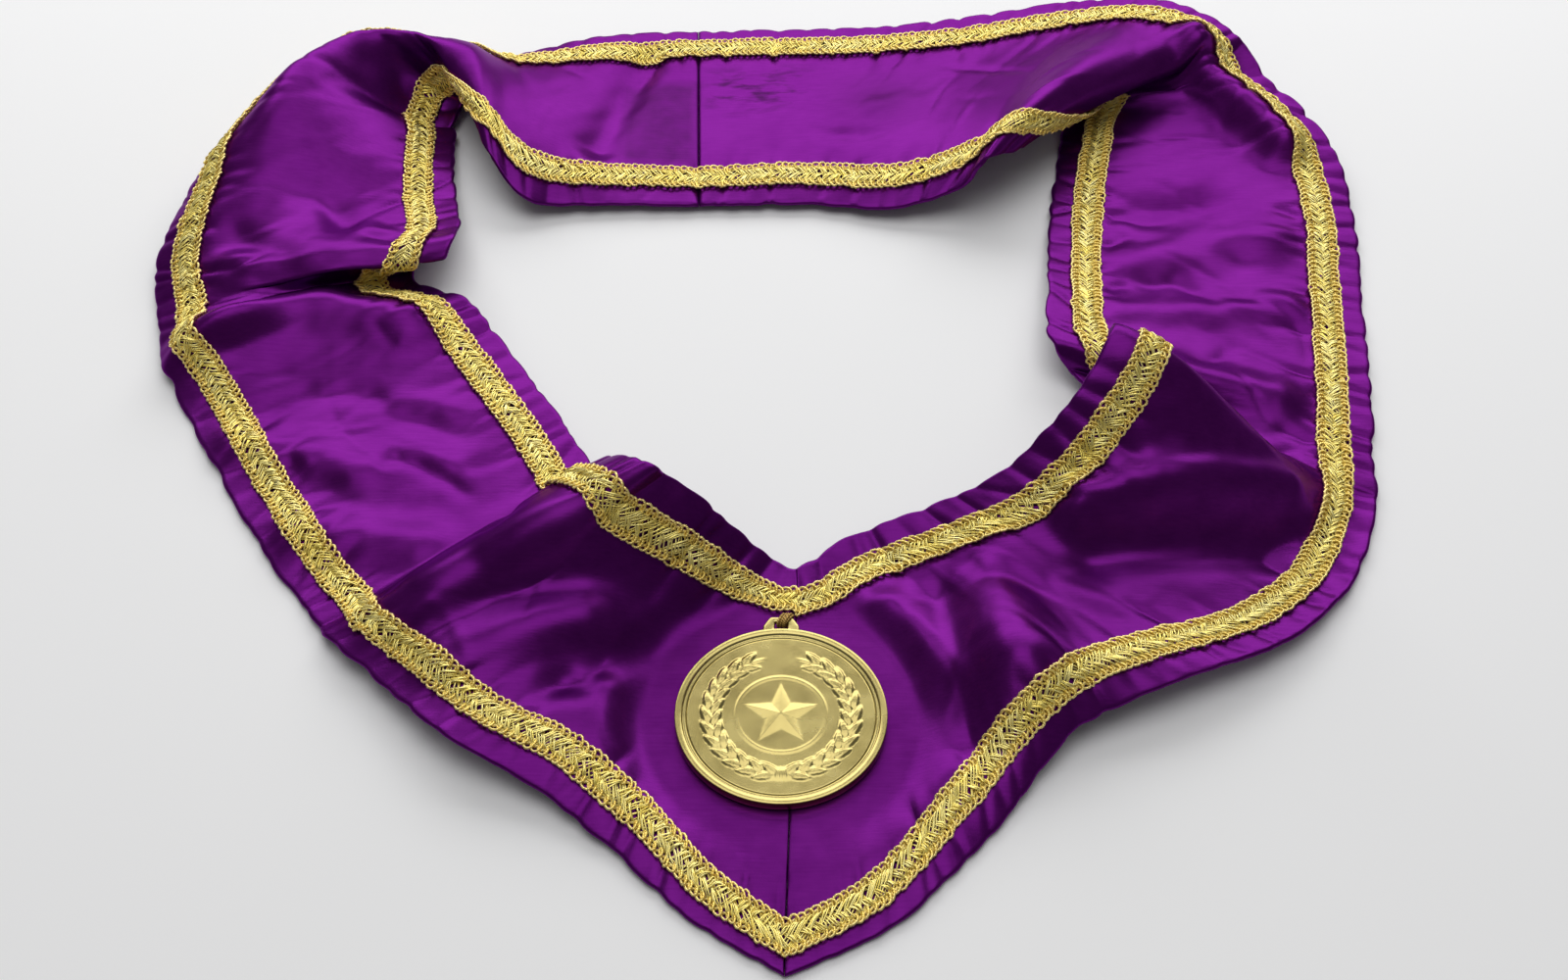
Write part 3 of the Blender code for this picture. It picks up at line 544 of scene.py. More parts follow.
def edge_creases(run, total, depth_in, rng):
    """Height and inward pull of the creases that cross one border and run on into the plain satin.

    Each crease is a narrow bell-shaped groove between two soft swells. Its line leaves the edge a
    little slantwise, and its depth dies away past the braid over a length of its own.
    """
    places = puckers(total, rng, PUCKER_PITCH)
    slants = rng.normal(0, CREASE_SLANT, len(places))
    bends = rng.normal(0, CREASE_BEND, len(places))
    fades = CREASE_FADE + CREASE_LONG_FADE * rng.random(len(places)) ** 2.2
    depths = rng.uniform(*CREASE_DEPTHS, len(places))
    widths = rng.uniform(*CREASE_WIDTHS, len(places))
    height = np.zeros(depth_in.shape)
    pull = np.zeros(depth_in.shape)
    past = np.maximum(depth_in - (BORDER_WIDTH + BRAID_WIDTH), 0)
    swell_out = np.clip(depth_in / BORDER_WIDTH, 0, 1)
    for place, slant, bend, fade, depth, width in zip(places, slants, bends, fades, depths, widths):
        line = place + slant * (depth_in - BORDER_WIDTH) + bend * past**2
        off = ring_offset(run[:, None], line, total)
        wide = width * (1 + 60 * past)
        groove = bell(off / wide) - SWELL_SHARE * bell(off / (SWELL_SPREAD * wide))
        strength = depth * np.exp(-past / fade) * (0.55 + 0.45 * swell_out)
        height -= CREASE_DEPTH * strength * groove
        pull += depth * bell(off / (PULL_SPREAD * width)) * (1 - swell_out)
    return height, pull


def free_creases(run, total, depth_in, rng):
    """Shallow creases scattered over the plain satin, each a short bowed bell up or down."""
    height = np.zeros(depth_in.shape)
    places = rng.uniform(0, total, FINE_CREASES)
    starts = rng.uniform(*FINE_STARTS, FINE_CREASES)
    turns = rng.normal(0, 0.55, FINE_CREASES)
    lengths = rng.uniform(*FINE_LENGTHS, FINE_CREASES)
    widths = rng.uniform(*FINE_WIDTHS, FINE_CREASES)
    rises = rng.uniform(-1.0, 1.0, FINE_CREASES)
    for place, start, turn, length, width, rise in zip(places, starts, turns, lengths, widths, rises):
        s = ring_offset(run[:, None], place, total)
        v = depth_in - start
        along = v * np.cos(turn) + s * np.sin(turn)
        off = s * np.cos(turn) - v * np.sin(turn) + 9 * along**2
        height += FINE_RISE * rise * np.exp(-((off / width) ** 2) - (along / length) ** 2)
    return height


Fold = namedtuple("Fold", "name x0 y0 x1 y1 height bow rise width")
# The satin's smaller folds, each along a bowed line. x and y are where its ends were read in the
# picture, in its pixels, and height is the cloth's there, as a share of FOLD_HEIGHT. bow is the line's
# own rise as a share of its length, rise a share of FOLD_HEIGHT, width one of STRIP_WIDTH.
FOLDS = [
    Fold("left_arm_long_a", 244, 418, 330, 388, 0.20, 0.10, -0.026, 0.048),
    Fold("left_arm_long_b", 330, 388, 398, 406, 0.20, 0.12, -0.022, 0.043),
    Fold("left_arm_pocket", 396, 412, 476, 437, 0.20, 0.05, -0.036, 0.057),
    Fold("left_arm_pocket_lip", 392, 400, 470, 418, 0.20, 0.08, 0.018, 0.048),
    Fold("left_arm_hook_a", 384, 470, 408, 458, 0.16, 0.00, -0.016, 0.029),
    Fold("left_arm_hook_b", 405, 460, 478, 500, 0.16, 0.06, -0.024, 0.030),
    Fold("left_arm_hook_lip", 410, 450, 482, 488, 0.16, 0.06, 0.014, 0.038),
    Fold("left_arm_edge_a", 292, 478, 306, 468, 0.12, 0.00, -0.020, 0.033),
    Fold("left_arm_edge_b", 300, 496, 350, 492, 0.12, 0.05, -0.024, 0.038),
    Fold("left_arm_upper", 236, 352, 330, 360, 0.28, -0.08, -0.018, 0.057),
    Fold("left_arm_swell_low", 300, 450, 352, 440, 0.16, 0.00, 0.018, 0.067),
    Fold("dome_dimple_a", 285, 158, 352, 208, 0.56, 0.10, -0.060, 0.070),
    Fold("dome_dimple_b", 305, 150, 318, 205, 0.56, 0.00, 0.026, 0.048),
    Fold("dome_side", 222, 206, 300, 236, 0.52, -0.08, -0.056, 0.062),
    Fold("dome_gather_a", 366, 232, 412, 240, 0.40, 0.06, -0.036, 0.038),
    Fold("dome_gather_b", 384, 214, 416, 222, 0.40, 0.06, -0.018, 0.029),
    Fold("dome_gather_c", 226, 262, 262, 250, 0.40, 0.00, -0.018, 0.029),
    Fold("right_arm_band", 1140, 208, 1246, 196, 0.16, -0.06, -0.050, 0.080),
    Fold("right_arm_step_a", 1150, 290, 1200, 286, 0.10, -0.08, -0.018, 0.033),
    Fold("right_arm_step_b", 1196, 286, 1240, 310, 0.10, 0.00, -0.022, 0.033),
    Fold("right_arm_step_c", 1238, 310, 1284, 300, 0.10, 0.00, -0.018, 0.033),
    Fold("right_arm_hollow", 1210, 250, 1285, 270, 0.10, 0.06, -0.040, 0.080),
    Fold("right_arm_arc", 1279, 306, 1336, 368, 0.10, 0.22, -0.020, 0.033),
    Fold("right_arm_arc_lip", 1290, 300, 1342, 352, 0.10, 0.20, 0.012, 0.043),
    Fold("right_arm_curl", 1213, 378, 1256, 358, 0.10, -0.16, -0.018, 0.033),
    Fold("right_arm_low_a", 1300, 436, 1342, 452, 0.10, 0.06, -0.028, 0.033),
    Fold("right_arm_low_b", 1294, 466, 1322, 458, 0.10, 0.00, -0.020, 0.029),
    Fold("right_arm_edge_a", 1128, 254, 1156, 236, 0.12, 0.10, -0.018, 0.025),
    Fold("right_arm_edge_b", 1130, 222, 1152, 212, 0.12, 0.10, -0.018, 0.025),
    Fold("right_arm_edge_c", 1130, 300, 1150, 292, 0.12, 0.10, -0.016, 0.025),
    Fold("right_arm_edge_d", 1300, 206, 1330, 216, 0.16, 0.10, -0.018, 0.025),
    Fold("right_front_curve", 948, 582, 990, 694, 0.20, -0.16, 0.032, 0.057),
    Fold("right_front_curve_in", 930, 600, 968, 690, 0.20, -0.12, -0.028, 0.067),
    Fold("right_front_ridge_a", 996, 544, 1074, 594, 0.24, 0.10, 0.024, 0.048),
    Fold("right_front_ridge_b", 1074, 596, 1150, 618, 0.24, 0.04, 0.018, 0.048),
    Fold("right_front_under", 1004, 584, 1072, 614, 0.24, 0.08, -0.026, 0.048),
    Fold("right_front_notch", 986, 560, 1006, 592, 0.24, 0.00, -0.018, 0.033),
    Fold("left_front_hook", 494, 562, 522, 528, 0.28, -0.25, -0.030, 0.043),
    Fold("left_front_long_a", 560, 696, 636, 664, 0.24, -0.08, -0.030, 0.043),
    Fold("left_front_long_b", 634, 664, 786, 634, 0.18, -0.02, -0.024, 0.038),
    Fold("left_front_long_lip", 600, 692, 700, 662, 0.20, -0.05, 0.016, 0.038),
    Fold("left_front_low", 544, 720, 590, 694, 0.16, 0.10, -0.024, 0.038),
    Fold("left_front_low_b", 584, 694, 640, 704, 0.16, 0.06, 0.018, 0.038),
    Fold("left_front_swell", 420, 640, 540, 604, 0.24, 0.05, 0.024, 0.076),
    Fold("left_front_shine", 590, 538, 380, 610, 0.50, -0.06, 0.110, 0.080),
    Fold("left_front_dark", 540, 690, 760, 634, 0.16, -0.04, -0.070, 0.100),
    Fold("back_crease", 968, 58, 1050, 90, 0.28, 0.03, -0.014, 0.017),
    Fold("back_fold_a", 830, 130, 900, 138, 0.16, -0.06, -0.014, 0.038),
    Fold("back_fold_b", 862, 112, 940, 104, 0.16, 0.05, 0.012, 0.048),
]


def under_pixel(x, y, height):
    """Plan place of a picture point: the sight line through that pixel, followed down to a height."""
    ahead = np.array([0, cos(CAMERA_DOWN), -sin(CAMERA_DOWN)])
    up = np.array([0, sin(CAMERA_DOWN), cos(CAMERA_DOWN)])
    right = np.array([1.0, 0, 0])
    sight = ahead + (right * (x - PICTURE_WIDTH / 2) + up * (PICTURE_HEIGHT / 2 - y)) / FOCAL_PIXELS
    place = np.array(CAMERA_PLACE)
    return (place + sight * (height - place[2]) / sight[2])[:2]


def small_folds(points):
    """Height of the smaller folds: a bell across each bowed line that fades towards its two ends."""
    height = np.zeros(points.shape[:-1])
    for fold in FOLDS:
        start = under_pixel(fold.x0, fold.y0, fold.height * FOLD_HEIGHT)
        way = under_pixel(fold.x1, fold.y1, fold.height * FOLD_HEIGHT) - start
        length = np.hypot(*way)
        way /= length
        offset = points[..., :2] - start
        along = offset @ way / length
        bowed = 4 * fold.bow * length * along * (1 - along)
        off = offset @ np.array([-way[1], way[0]]) - bowed
        fade = np.exp(-((2 * along - 1) ** 4))
        height += fold.rise * FOLD_HEIGHT * fade * bell(off / (fold.width * STRIP_WIDTH))
    return height


def soft_noise(points, rng, wave, count=9):
    """Sum of sines in random directions through space, about that wave long, between -1 and 1."""
    total = np.zeros(points.shape[:-1])
    for _ in range(count):
        way = rng.normal(size=3)
        way /= np.linalg.norm(way) * wave * rng.uniform(0.7, 1.5)
        total += np.sin(2 * pi * (points @ way) + rng.uniform(0, 2 * pi))
    return total / count


def collar_surface(medal_centre):
    """Fine middle surface of the whole loop with its creases, its normals, depth in and back seam row."""
    right = side_surface(RIGHT_SECTIONS, medal_centre)
    left = side_surface(LEFT_SECTIONS, medal_centre)
    left[-1] = right[-1]
    loop = np.concatenate([right, left[-2:0:-1]])
    normal = loop_normals(loop)
    depth_in = run_across(loop)
    outer_run, outer_total = ring_length(loop[:, 0])
    inner_run, inner_total = ring_length(loop[:, -1])
    middle_run, middle_total = (outer_run + inner_run) / 2, (outer_total + inner_total) / 2
    rng = np.random.default_rng(11)
    outer_creases, pull_out = edge_creases(outer_run, outer_total, depth_in, rng)
    inner_creases, pull_in = edge_creases(inner_run, inner_total, depth_in[:, -1:] - depth_in, rng)
    height = outer_creases + inner_creases + free_creases(middle_run, middle_total, depth_in, rng)
    height = height + small_folds(loop)
    height += sum(rise * soft_noise(loop, rng, wave) for rise, wave in UNEVENNESS)
    height *= rest_ramp(loop, medal_centre)
    over = unit(np.gradient(loop, axis=1))
    loop = loop + normal * height[..., None] + over * (PUCKER_PULL * (pull_out - pull_in))[..., None]
    loop[..., 2] = np.maximum(loop[..., 2] + CLOTH_THICKNESS / 2, CLOTH_THICKNESS / 2)
    return loop, loop_normals(loop), depth_in, len(right) - 1


def read_grid(grid, row, column):
    """Grid values between its rows and columns, worked out in both directions; rows run in a ring."""
    count = len(grid)
    i = np.floor(row).astype(int)
    j = np.clip(np.floor(column).astype(int), 0, grid.shape[1] - 2)
    p, q = (row - i)[..., None], (column - j)[..., None]
    i, k = i % count, (i + 1) % count
    low = grid[i, j] * (1 - q) + grid[i, j + 1] * q
    high = grid[k, j] * (1 - q) + grid[k, j + 1] * q
    return low * (1 - p) + high * p


# Meshes of the cloth and the braids


def grid_faces(rows, columns, ring_rows=False, ring_columns=False, start=0):
    """Quads between neighbours of a grid of points, which may close up in either direction."""
    i = np.arange(rows if ring_rows else rows - 1)[:, None]
    j = np.arange(columns if ring_columns else columns - 1)[None, :]
    k, n = (i + 1) % rows, (j + 1) % columns
    quads = np.stack([i * columns + j, k * columns + j, k * columns + n, i * columns + n], axis=-1)
    return start + quads.reshape(-1, 4)


def end_caps(rings, count):
    """The two faces that close a row of rings of count points at its ends."""
    last = (rings - 1) * count
    return [list(range(count)), list(range(last + count - 1, last - 1, -1))]


def surface_object(name, points, quads, material, uv=None, smooth=180.0, extra=()):
    """A mesh object from an array of points and one of quads, with a UV pair for each point."""
    mesh = bpy.data.meshes.new(name)
    faces = quads.tolist() + [list(face) for face in extra]
    mesh.from_pydata(points.reshape(-1, 3).tolist(), [], faces)
    if uv is not None:
        corners = np.empty(len(mesh.loops), np.int32)
        mesh.loops.foreach_get("vertex_index", corners)
        layer = mesh.uv_layers.new(name="cloth")
        layer.uv.foreach_set("vector", uv.reshape(-1, 2)[corners].astype(np.float32).ravel())
    mesh.materials.append(material)
    mesh.shade_smooth()
    if smooth < 180:
        mesh.set_sharp_from_angle(angle=radians(smooth))
    obj = bpy.data.objects.new(name, mesh)
    bpy.context.scene.collection.objects.link(obj)
    return obj


def wall_share(distance, reach):
    """Share of the full thickness at a distance from a rounded edge: a quarter circle, then 1."""
    return np.sqrt(np.clip(1 - np.clip(1 - distance / reach, 0, 1) ** 2, 0, 1))


def satin_panel(name, surface, rows, medal_centre, material):
    """A closed wall of satin: the fine surface lifted and lowered by half its thickness.

    Each row is a ring, over the top and back underneath. The thickness falls to nothing in a quarter
    circle at the turned edges, and to a small share at the two seams, which makes their grooves.
    """
    loop, normal, inward, _ = surface
    places = np.concatenate([rows[0] + SEAM_ROWS, rows[1:-1], rows[-1] - SEAM_ROWS[::-1]]).astype(float)
    row_at, column_at = np.meshgrid(places, np.arange(loop.shape[1], dtype=float), indexing="ij")
    middle = read_grid(loop, row_at, column_at)
    up = read_grid(normal, row_at, column_at)
    depth_in = read_grid(inward[..., None], row_at, column_at)[..., 0]
    depth_out = depth_in[:, -1:] - depth_in
    along = np.append(0, np.cumsum(np.linalg.norm(np.diff(middle, axis=0), axis=2).mean(axis=1)))
    seam = np.minimum(along, along[-1] - along)
    share = wall_share(np.minimum(depth_in, depth_out), EDGE_ROUND)
    share = share * (SEAM_WALL + (1 - SEAM_WALL) * wall_share(seam, SEAM_ROUND))[:, None]
    for end, beside in ((0, 1), (-1, -2)):
        line = middle[end, -1, :2] - middle[end, 0, :2]
        square = np.array([-line[1], line[0]]) / np.linalg.norm(line)
        inside = np.sign((middle[beside, 0, :2] - middle[end, 0, :2]) @ square)
        middle[end, :, :2] += inside * square * SEAM_GAP
    lift = up * (SATIN_WALL / 2 * share)[..., None]
    sink = -SEAM_DIP * bell(seam / SEAM_ROUND) * rest_ramp(middle[:, MIDDLE_COLUMN], medal_centre)
    upper, lower = middle + lift, middle - lift
    upper[..., 2] += sink[:, None] * (share > 0)
    lower[..., 2] = np.maximum(lower[..., 2], FLOOR_GAP)
    upper[..., 2] = np.maximum(upper[..., 2], lower[..., 2])
    ring = np.concatenate([upper, lower[:, -2:0:-1]], axis=1)
    uv_top = np.stack([np.broadcast_to(along[:, None], depth_in.shape), depth_in], axis=-1)
    uv_ring = np.concatenate([uv_top, uv_top[:, -2:0:-1]], axis=1)
    quads = grid_faces(*ring.shape[:2], ring_columns=True)
    return surface_object(name, ring, quads, material, uv_ring, extra=end_caps(*ring.shape[:2]))


def track(surface, first, share):
    """Ring of fine row places along a braid at a share across it, with the length run to each."""
    loop = surface[0]
    low, high = BAND_STARTS[first], BAND_STARTS[first + 1]
    rows = np.arange(len(loop) + 1, dtype=float)
    line = read_grid(loop, rows, np.full(len(rows), low + (high - low) * share))
    return rows, run_length(line)


def braid_frame(surface, first, share, at, rows, run):
    """Place, upward normal and inward direction at lengths along a braid."""
    loop, normal = surface[:2]
    low, high = BAND_STARTS[first], BAND_STARTS[first + 1]
    row = np.interp(at % run[-1], run, rows)
    column = low + (high - low) * share
    place = read_grid(loop, row, column)
    up = unit(read_grid(normal, row, column))
    inner = read_grid(loop, row, np.minimum(column + 1.0, high))
    inner -= read_grid(loop, row, np.maximum(column - 1.0, low))
    inner -= up * (inner * up).sum(axis=-1, keepdims=True)
    return place, up, unit(inner)


def tube(path, side, lift, across_radius, lift_radius, sides, phase=0.0):
    """Closed tube along a ring of points: an oval of two radii on the two directions at each."""
    turn = np.arange(sides) * 2 * pi / sides + phase
    wide = np.cos(turn)[None, :, None] * np.reshape(across_radius, (-1, 1, 1))
    high = np.sin(turn)[None, :, None] * np.reshape(lift_radius, (-1, 1, 1))
    return path[:, None] + side[:, None] * wide + lift[:, None] * high


def beside_and_top(path, up):
    """Directions to the side of a ring of points and square to it, at each."""
    way = ring_way(path)
    beside = unit(np.cross(up, way))
    return beside, unit(np.cross(way, beside))


def tubes_object(name, tubes, labels, material):
    """One mesh of closed tubes, with its label along each in U and the share round it in V."""
    quads, uv, start = [], [], 0
    for ring, label in zip(tubes, labels):
        count, sides = ring.shape[:2]
        quads.append(grid_faces(count, sides, True, True, start=start))
        uv.append(np.stack(np.broadcast_arrays(label[:, None], np.arange(sides) / sides), axis=-1))
        start += count * sides
    points = np.concatenate([ring.reshape(-1, 3) for ring in tubes])
    labels_there = np.concatenate([pair.reshape(-1, 2) for pair in uv])
    return surface_object(name, points, np.concatenate(quads), material, labels_there)


def wandering(turn, rng, spread):
    """A value drawn for each whole turn, joined by straight steps between the turns."""
    values = rng.uniform(-spread, spread, int(turn[-1]) + 2)
    values[-1] = values[0]
    return np.interp(turn, np.arange(len(values)), values)


def edge_cord(name, surface, first, outside, seed, material):
    """The looped cord at one edge of a braid, with a plain cord through its loops.

    At the turn angle a the cord is across by cos a and along by sin a about a centre that moves on one
    pitch a turn, so it goes in rings. It rises by sin a, so each ring laps over the next. Some rings
    reach further out. The plain cord wanders along below the rings' middle.
    """
    rng = np.random.default_rng(seed)
    share = LOOP_CENTRE / BRAID_WIDTH if outside else 1 - LOOP_CENTRE / BRAID_WIDTH
    outward = -1.0 if outside else 1.0
    rows, run = track(surface, first, share)
    turns = int(run[-1] / LOOP_PITCH)
    turn = np.arange(turns * CORD_STEPS) / CORD_STEPS
    angle = 2 * pi * turn
    reach = 1.0 + np.maximum(wandering(turn + 0.5, rng, LOOP_REACH[1]), LOOP_REACH[0])
    lateral = np.cos(angle) * np.where(np.cos(angle) > 0, reach, 1.0)
    at = turn / turns * run[-1] + LOOP_HALF_LONG * np.sin(angle) * (1 + wandering(turn, rng, 0.2))
    at = at - LOOP_LEAN * LOOP_HALF_LONG * lateral * outward
    across = outward * (LOOP_HALF_WIDE * lateral + wandering(turn, rng, LOOP_STRAY))
    floor = SATIN_WALL / 2 + CORD_RADIUS
    height = floor + LOOP_RISE * (1.5 + np.sin(angle + 0.4)) + wandering(turn, rng, LOOP_LIFT_STRAY)
    thick = CORD_RADIUS * (1 + wandering(turn, rng, CORD_UNEVEN))
    core_turn = np.arange(turns * CORE_STEPS) / CORE_STEPS
    core_at = core_turn / turns * run[-1]
    core_across = CORE_SWAY * np.sin(2 * pi * core_turn) + wandering(core_turn, rng, CORE_STRAY)
    core_height = floor + CORE_LIFT + CORE_BOB * np.cos(2 * pi * core_turn)
    core_thick = np.full(len(core_at), CORE_RADIUS)
    looped = (at, across, height, thick)
    plain = (core_at, core_across, core_height, core_thick)
    tubes = []
    for along, side_step, lift, radius in (looped, plain):
        place, up, inner = braid_frame(surface, first, np.full(len(along), share), along, rows, run)
        centre = place + up * lift[:, None] + inner * side_step[:, None]
        beside, top = beside_and_top(centre, up)
        tubes.append(tube(centre, beside, top, radius, radius, CORD_SIDES))
    return tubes_object(name, tubes, (turn, core_turn), material)


def flat_plait(name, surface, first, seed, material):
    """The flat strands between a braid's two edge cords.

    Three bundles swing across and back a third of a wave apart, each of five strands a step along
    from each other. A bundle goes over the next one and under the one after.
    """
    rng = np.random.default_rng(seed)
    rows, run = track(surface, first, 0.5)
    waves = int(run[-1] / PLAIT_WAVE)
    steps = waves * PLAIT_STEPS
    at = np.arange(steps) * run[-1] / steps
    tubes, labels = [], []
    for strand in range(15):
        bundle, place_in = strand % 3, strand // 3 - 2
        swing = 2 * pi * (waves * at / run[-1] + bundle / 3)
        wave = np.sin(swing) + 0.1 * np.sin(3 * swing + pi)
        half = PLAIT_HALF + PLAIT_SWELL * soft_drift(at, rng)
        stray = wandering(at / STRAY_PITCH, rng, STRAY_ACROSS)
        share = 0.5 + (half * wave + STRAND_DRIFT * soft_drift(at, rng) + stray) / BRAID_WIDTH
        offset = place_in * STRAND_GAP * (1 + 0.5 * soft_drift(at, rng))
        offset = offset + ALONG_DRIFT * soft_drift(at, rng)
        place, up, _ = braid_frame(surface, first, share, at + offset, rows, run)
        lift = PLAIT_LIFT + PLAIT_LAP * np.sin(2 * swing) - PLAIT_TUCK * np.abs(wave) ** 4
        lift = lift + LIFT_DRIFT * soft_drift(at, rng) + wandering(at / STRAY_PITCH, rng, STRAY_UP)
        centre = place + up * lift[:, None]
        side, top = beside_and_top(centre, up)
        tilt = 0.5 * soft_drift(at, rng)[:, None]
        side, top = side * np.cos(tilt) + top * np.sin(tilt), top * np.cos(tilt) - side * np.sin(tilt)
        tubes.append(tube(centre, side, top, STRAND_WIDTH / 2, STRAND_THICKNESS / 2, 4, pi / 4))
        labels.append(at / PLAIT_WAVE + rng.random())
    return tubes_object(name, tubes, labels, material)


def soft_drift(at, rng):
    """Slow wandering between about -1 and 1 along a ring, from a few whole waves of random phase."""
    total = at[-1] + at[1]
    waves = rng.integers(20, 160, 6)
    phases = rng.uniform(0, 2 * pi, 6)
    return np.sin(2 * pi * waves[:, None] * at[None] / total + phases[:, None]).sum(axis=0) / 3


# Medal and thread


def star_radius(angle):
    """Outline of the star: straight edges between its points and its notches."""
    point, notch = STAR_POINT * MEDAL_DIAMETER / 2, STAR_NOTCH * MEDAL_DIAMETER / 2
    sector = pi / 5
    turn = np.abs((angle - pi / 2 + sector) % (2 * sector) - sector)
    bx, by = notch * np.cos(sector), notch * np.sin(sector)
    return point * by / (np.cos(turn) * by - np.sin(turn) * (bx - point))


def leaf(x, y, cx, cy, lean):
    """Height of one leaf: half an ellipsoid, narrower towards its tip, with a groove along its middle."""
    u = (x - cx) * np.cos(lean) + (y - cy) * np.sin(lean)
    v = (y - cy) * np.cos(lean) - (x - cx) * np.sin(lean)
    waist = LEAF_HALF_WIDE * np.clip(1 - 0.35 * u / LEAF_TAPER, 0.4, 1.4)
    body = np.sqrt(np.clip(1 - (u / LEAF_HALF_LONG) ** 2 - (v / waist) ** 2, 0, 1))
    return body * (1 - 0.35 * bell(v / GROOVE_HALF))


def struck_face(radius, angle):
    """Height of the struck face over its field.

    The star is a pyramid on its own outline. The leaves are set slantwise along both sides of a
    ring-shaped stem that is open at the top and tied with a knot at the bottom.
    """
    star = np.clip(1 - radius / star_radius(angle), 0, 1) ** 0.8
    ring = WREATH_RING * MEDAL_DIAMETER / 2
    x, y = radius * np.cos(angle), radius * np.sin(angle)
    wreath = np.zeros(np.broadcast(radius, angle).shape)
    for k, side, out in product(range(LEAF_PAIRS), (-1, 1), (-1, 1)):
        turn = -pi / 2 + side * (LEAF_START + LEAF_PITCH * k + LEAF_STAGGER * max(out, 0))
        lean = turn + side * (pi / 2 - out * LEAF_LEAN)
        reach = ring + out * LEAF_OFFSET
        wreath = np.maximum(wreath, leaf(x, y, reach * np.cos(turn), reach * np.sin(turn), lean))
    gap = np.clip(np.abs((angle - pi / 2 + pi) % (2 * pi) - pi) / STEM_GAP - 1.0, 0, 1)
    stem = 0.45 * bell((radius - ring) / STEM_HALF) * gap
    knot = np.exp(-((x / KNOT_HALF[0]) ** 4) - (((y + ring) / KNOT_HALF[1]) ** 4))
    knot = 0.8 * knot * (0.75 + 0.25 * np.cos(x * KNOT_RIBS))
    wreath = np.maximum(np.maximum(wreath, stem), knot)
    outline = 0.30 * bell((radius - STAR_RING * MEDAL_DIAMETER / 2) / RING_HALF)
    groove = bell((radius - (MEDAL_DIAMETER / 2 - RIM_WIDTH - GROOVE_IN)) / GROOVE_HALF)
    return RELIEF_RISE * np.maximum(np.maximum(star, wreath * 0.9), outline) - GROOVE_DEPTH * groove


def medal_disc(centre, material):
    """The struck disc as rings of points: the face from its middle out, the rim, the edge, the back."""
    outer, top, bevel = MEDAL_DIAMETER / 2, MEDAL_THICKNESS, RIM_BEVEL
    inner = outer - RIM_WIDTH
    angle = np.arange(DISC_POINTS) * 2 * pi / DISC_POINTS
    # Each zone's first and last radius and its number of rings
    star, wreath = (DISC_MIDDLE, 0.0128, 22), (0.0131, inner - 0.0021, 34)
    groove = (inner - 0.0019, inner - 0.0002, 12)
    radii = np.concatenate([np.linspace(*zone) for zone in (star, wreath, groove)])
    height = MEDAL_THICKNESS - FIELD_DEPTH + struck_face(radii[:, None], angle[None, :])
    rings = list(zip(radii, height))
    rings += [(inner, top - FIELD_DEPTH + RIM_FOOT), (inner + RIM_SHOULDER[0], top - RIM_SHOULDER[1])]
    rings += [(inner + RIM_SLOPE, top), (outer - bevel, top), (outer - 0.3 * bevel, top - 0.3 * bevel)]
    rings += [(outer, top - bevel), (outer, bevel), (outer - 0.3 * bevel, 0.3 * bevel)]
    rings += [(outer - bevel, 0), (DISC_MIDDLE, 0)]
    points = np.stack([np.stack([r * np.cos(angle), r * np.sin(angle), h + 0 * angle], -1) for r, h in rings])
    points += (*centre, MEDAL_SEAT)
    uv = points[..., :2] - centre
    quads = grid_faces(len(rings), DISC_POINTS, ring_columns=True)
    caps = end_caps(len(rings), DISC_POINTS)
    return surface_object("medal_disc", points, quads, material, uv, smooth=SHARP_ANGLE, extra=caps)


def rounded_outline(right):
    """A closed outline from the corners of its right half, mirrored, with its corners rounded.

    Each side gets evenly spaced points. Each point then moves, a few times over, to the mean of
    itself, counted twice, and its two neighbours.
    """
    corners = np.array(right + [(-x, y) for x, y in right[-2:0:-1]])
    share = np.arange(LUG_POINTS)[:, None] / LUG_POINTS
    sides = zip(corners, np.roll(corners, -1, axis=0))
    line = np.concatenate([start * (1 - share) + end * share for start, end in sides])
    for _ in range(LUG_ROUNDS):
        line = (np.roll(line, 1, axis=0) + 2 * line + np.roll(line, -1, axis=0)) / 4
    return line


def squarish(turn, power):
    """Both coordinates of a circle pushed out towards its square: cosine and sine, each to a power."""
    return [np.sign(value) * np.abs(value) ** power for value in (np.cos(turn), np.sin(turn))]


def medal_lug(centre, material):
    """The slotted lug: a rounded bar carried round between its outline and the slot's outline."""
    base = MEDAL_DIAMETER / 2
    root, knee, top = base - LUG_ROOT, base + LUG_KNEE * SLOT_HEIGHT, base + SLOT_HEIGHT + LUG_BAR
    half, half_top, slot = LUG_WIDTH / 2, LUG_TOP_WIDTH / 2, SLOT_WIDTH / 2
    halfway, end = base + 0.5 * SLOT_HEIGHT, base + SLOT_HEIGHT
    outer = rounded_outline([(0, root), (half, root), (half, knee), (half_top, top), (0, top)])
    inner = rounded_outline([(0, base), (slot, base), (slot, halfway), (slot, end), (0, end)])
    turn = np.arange(LUG_SIDES) * 2 * pi / LUG_SIDES + pi / LUG_SIDES
    wide, high = squarish(turn, LUG_SQUARE)
    plan = ((outer + inner) / 2)[:, None] + ((outer - inner) / 2)[:, None] * wide[None, :, None]
    level = MEDAL_THICKNESS - LUG_THICKNESS / 2 + LUG_THICKNESS / 2 * high
    level = np.broadcast_to(level, plan.shape[:2])
    points = np.concatenate([plan, level[..., None]], axis=-1) + (*centre, MEDAL_SEAT)
    quads = grid_faces(len(points), LUG_SIDES, True, True)
    return surface_object("medal_lug", points, quads, material, points[..., :2] - centre, smooth=SHARP_ANGLE)


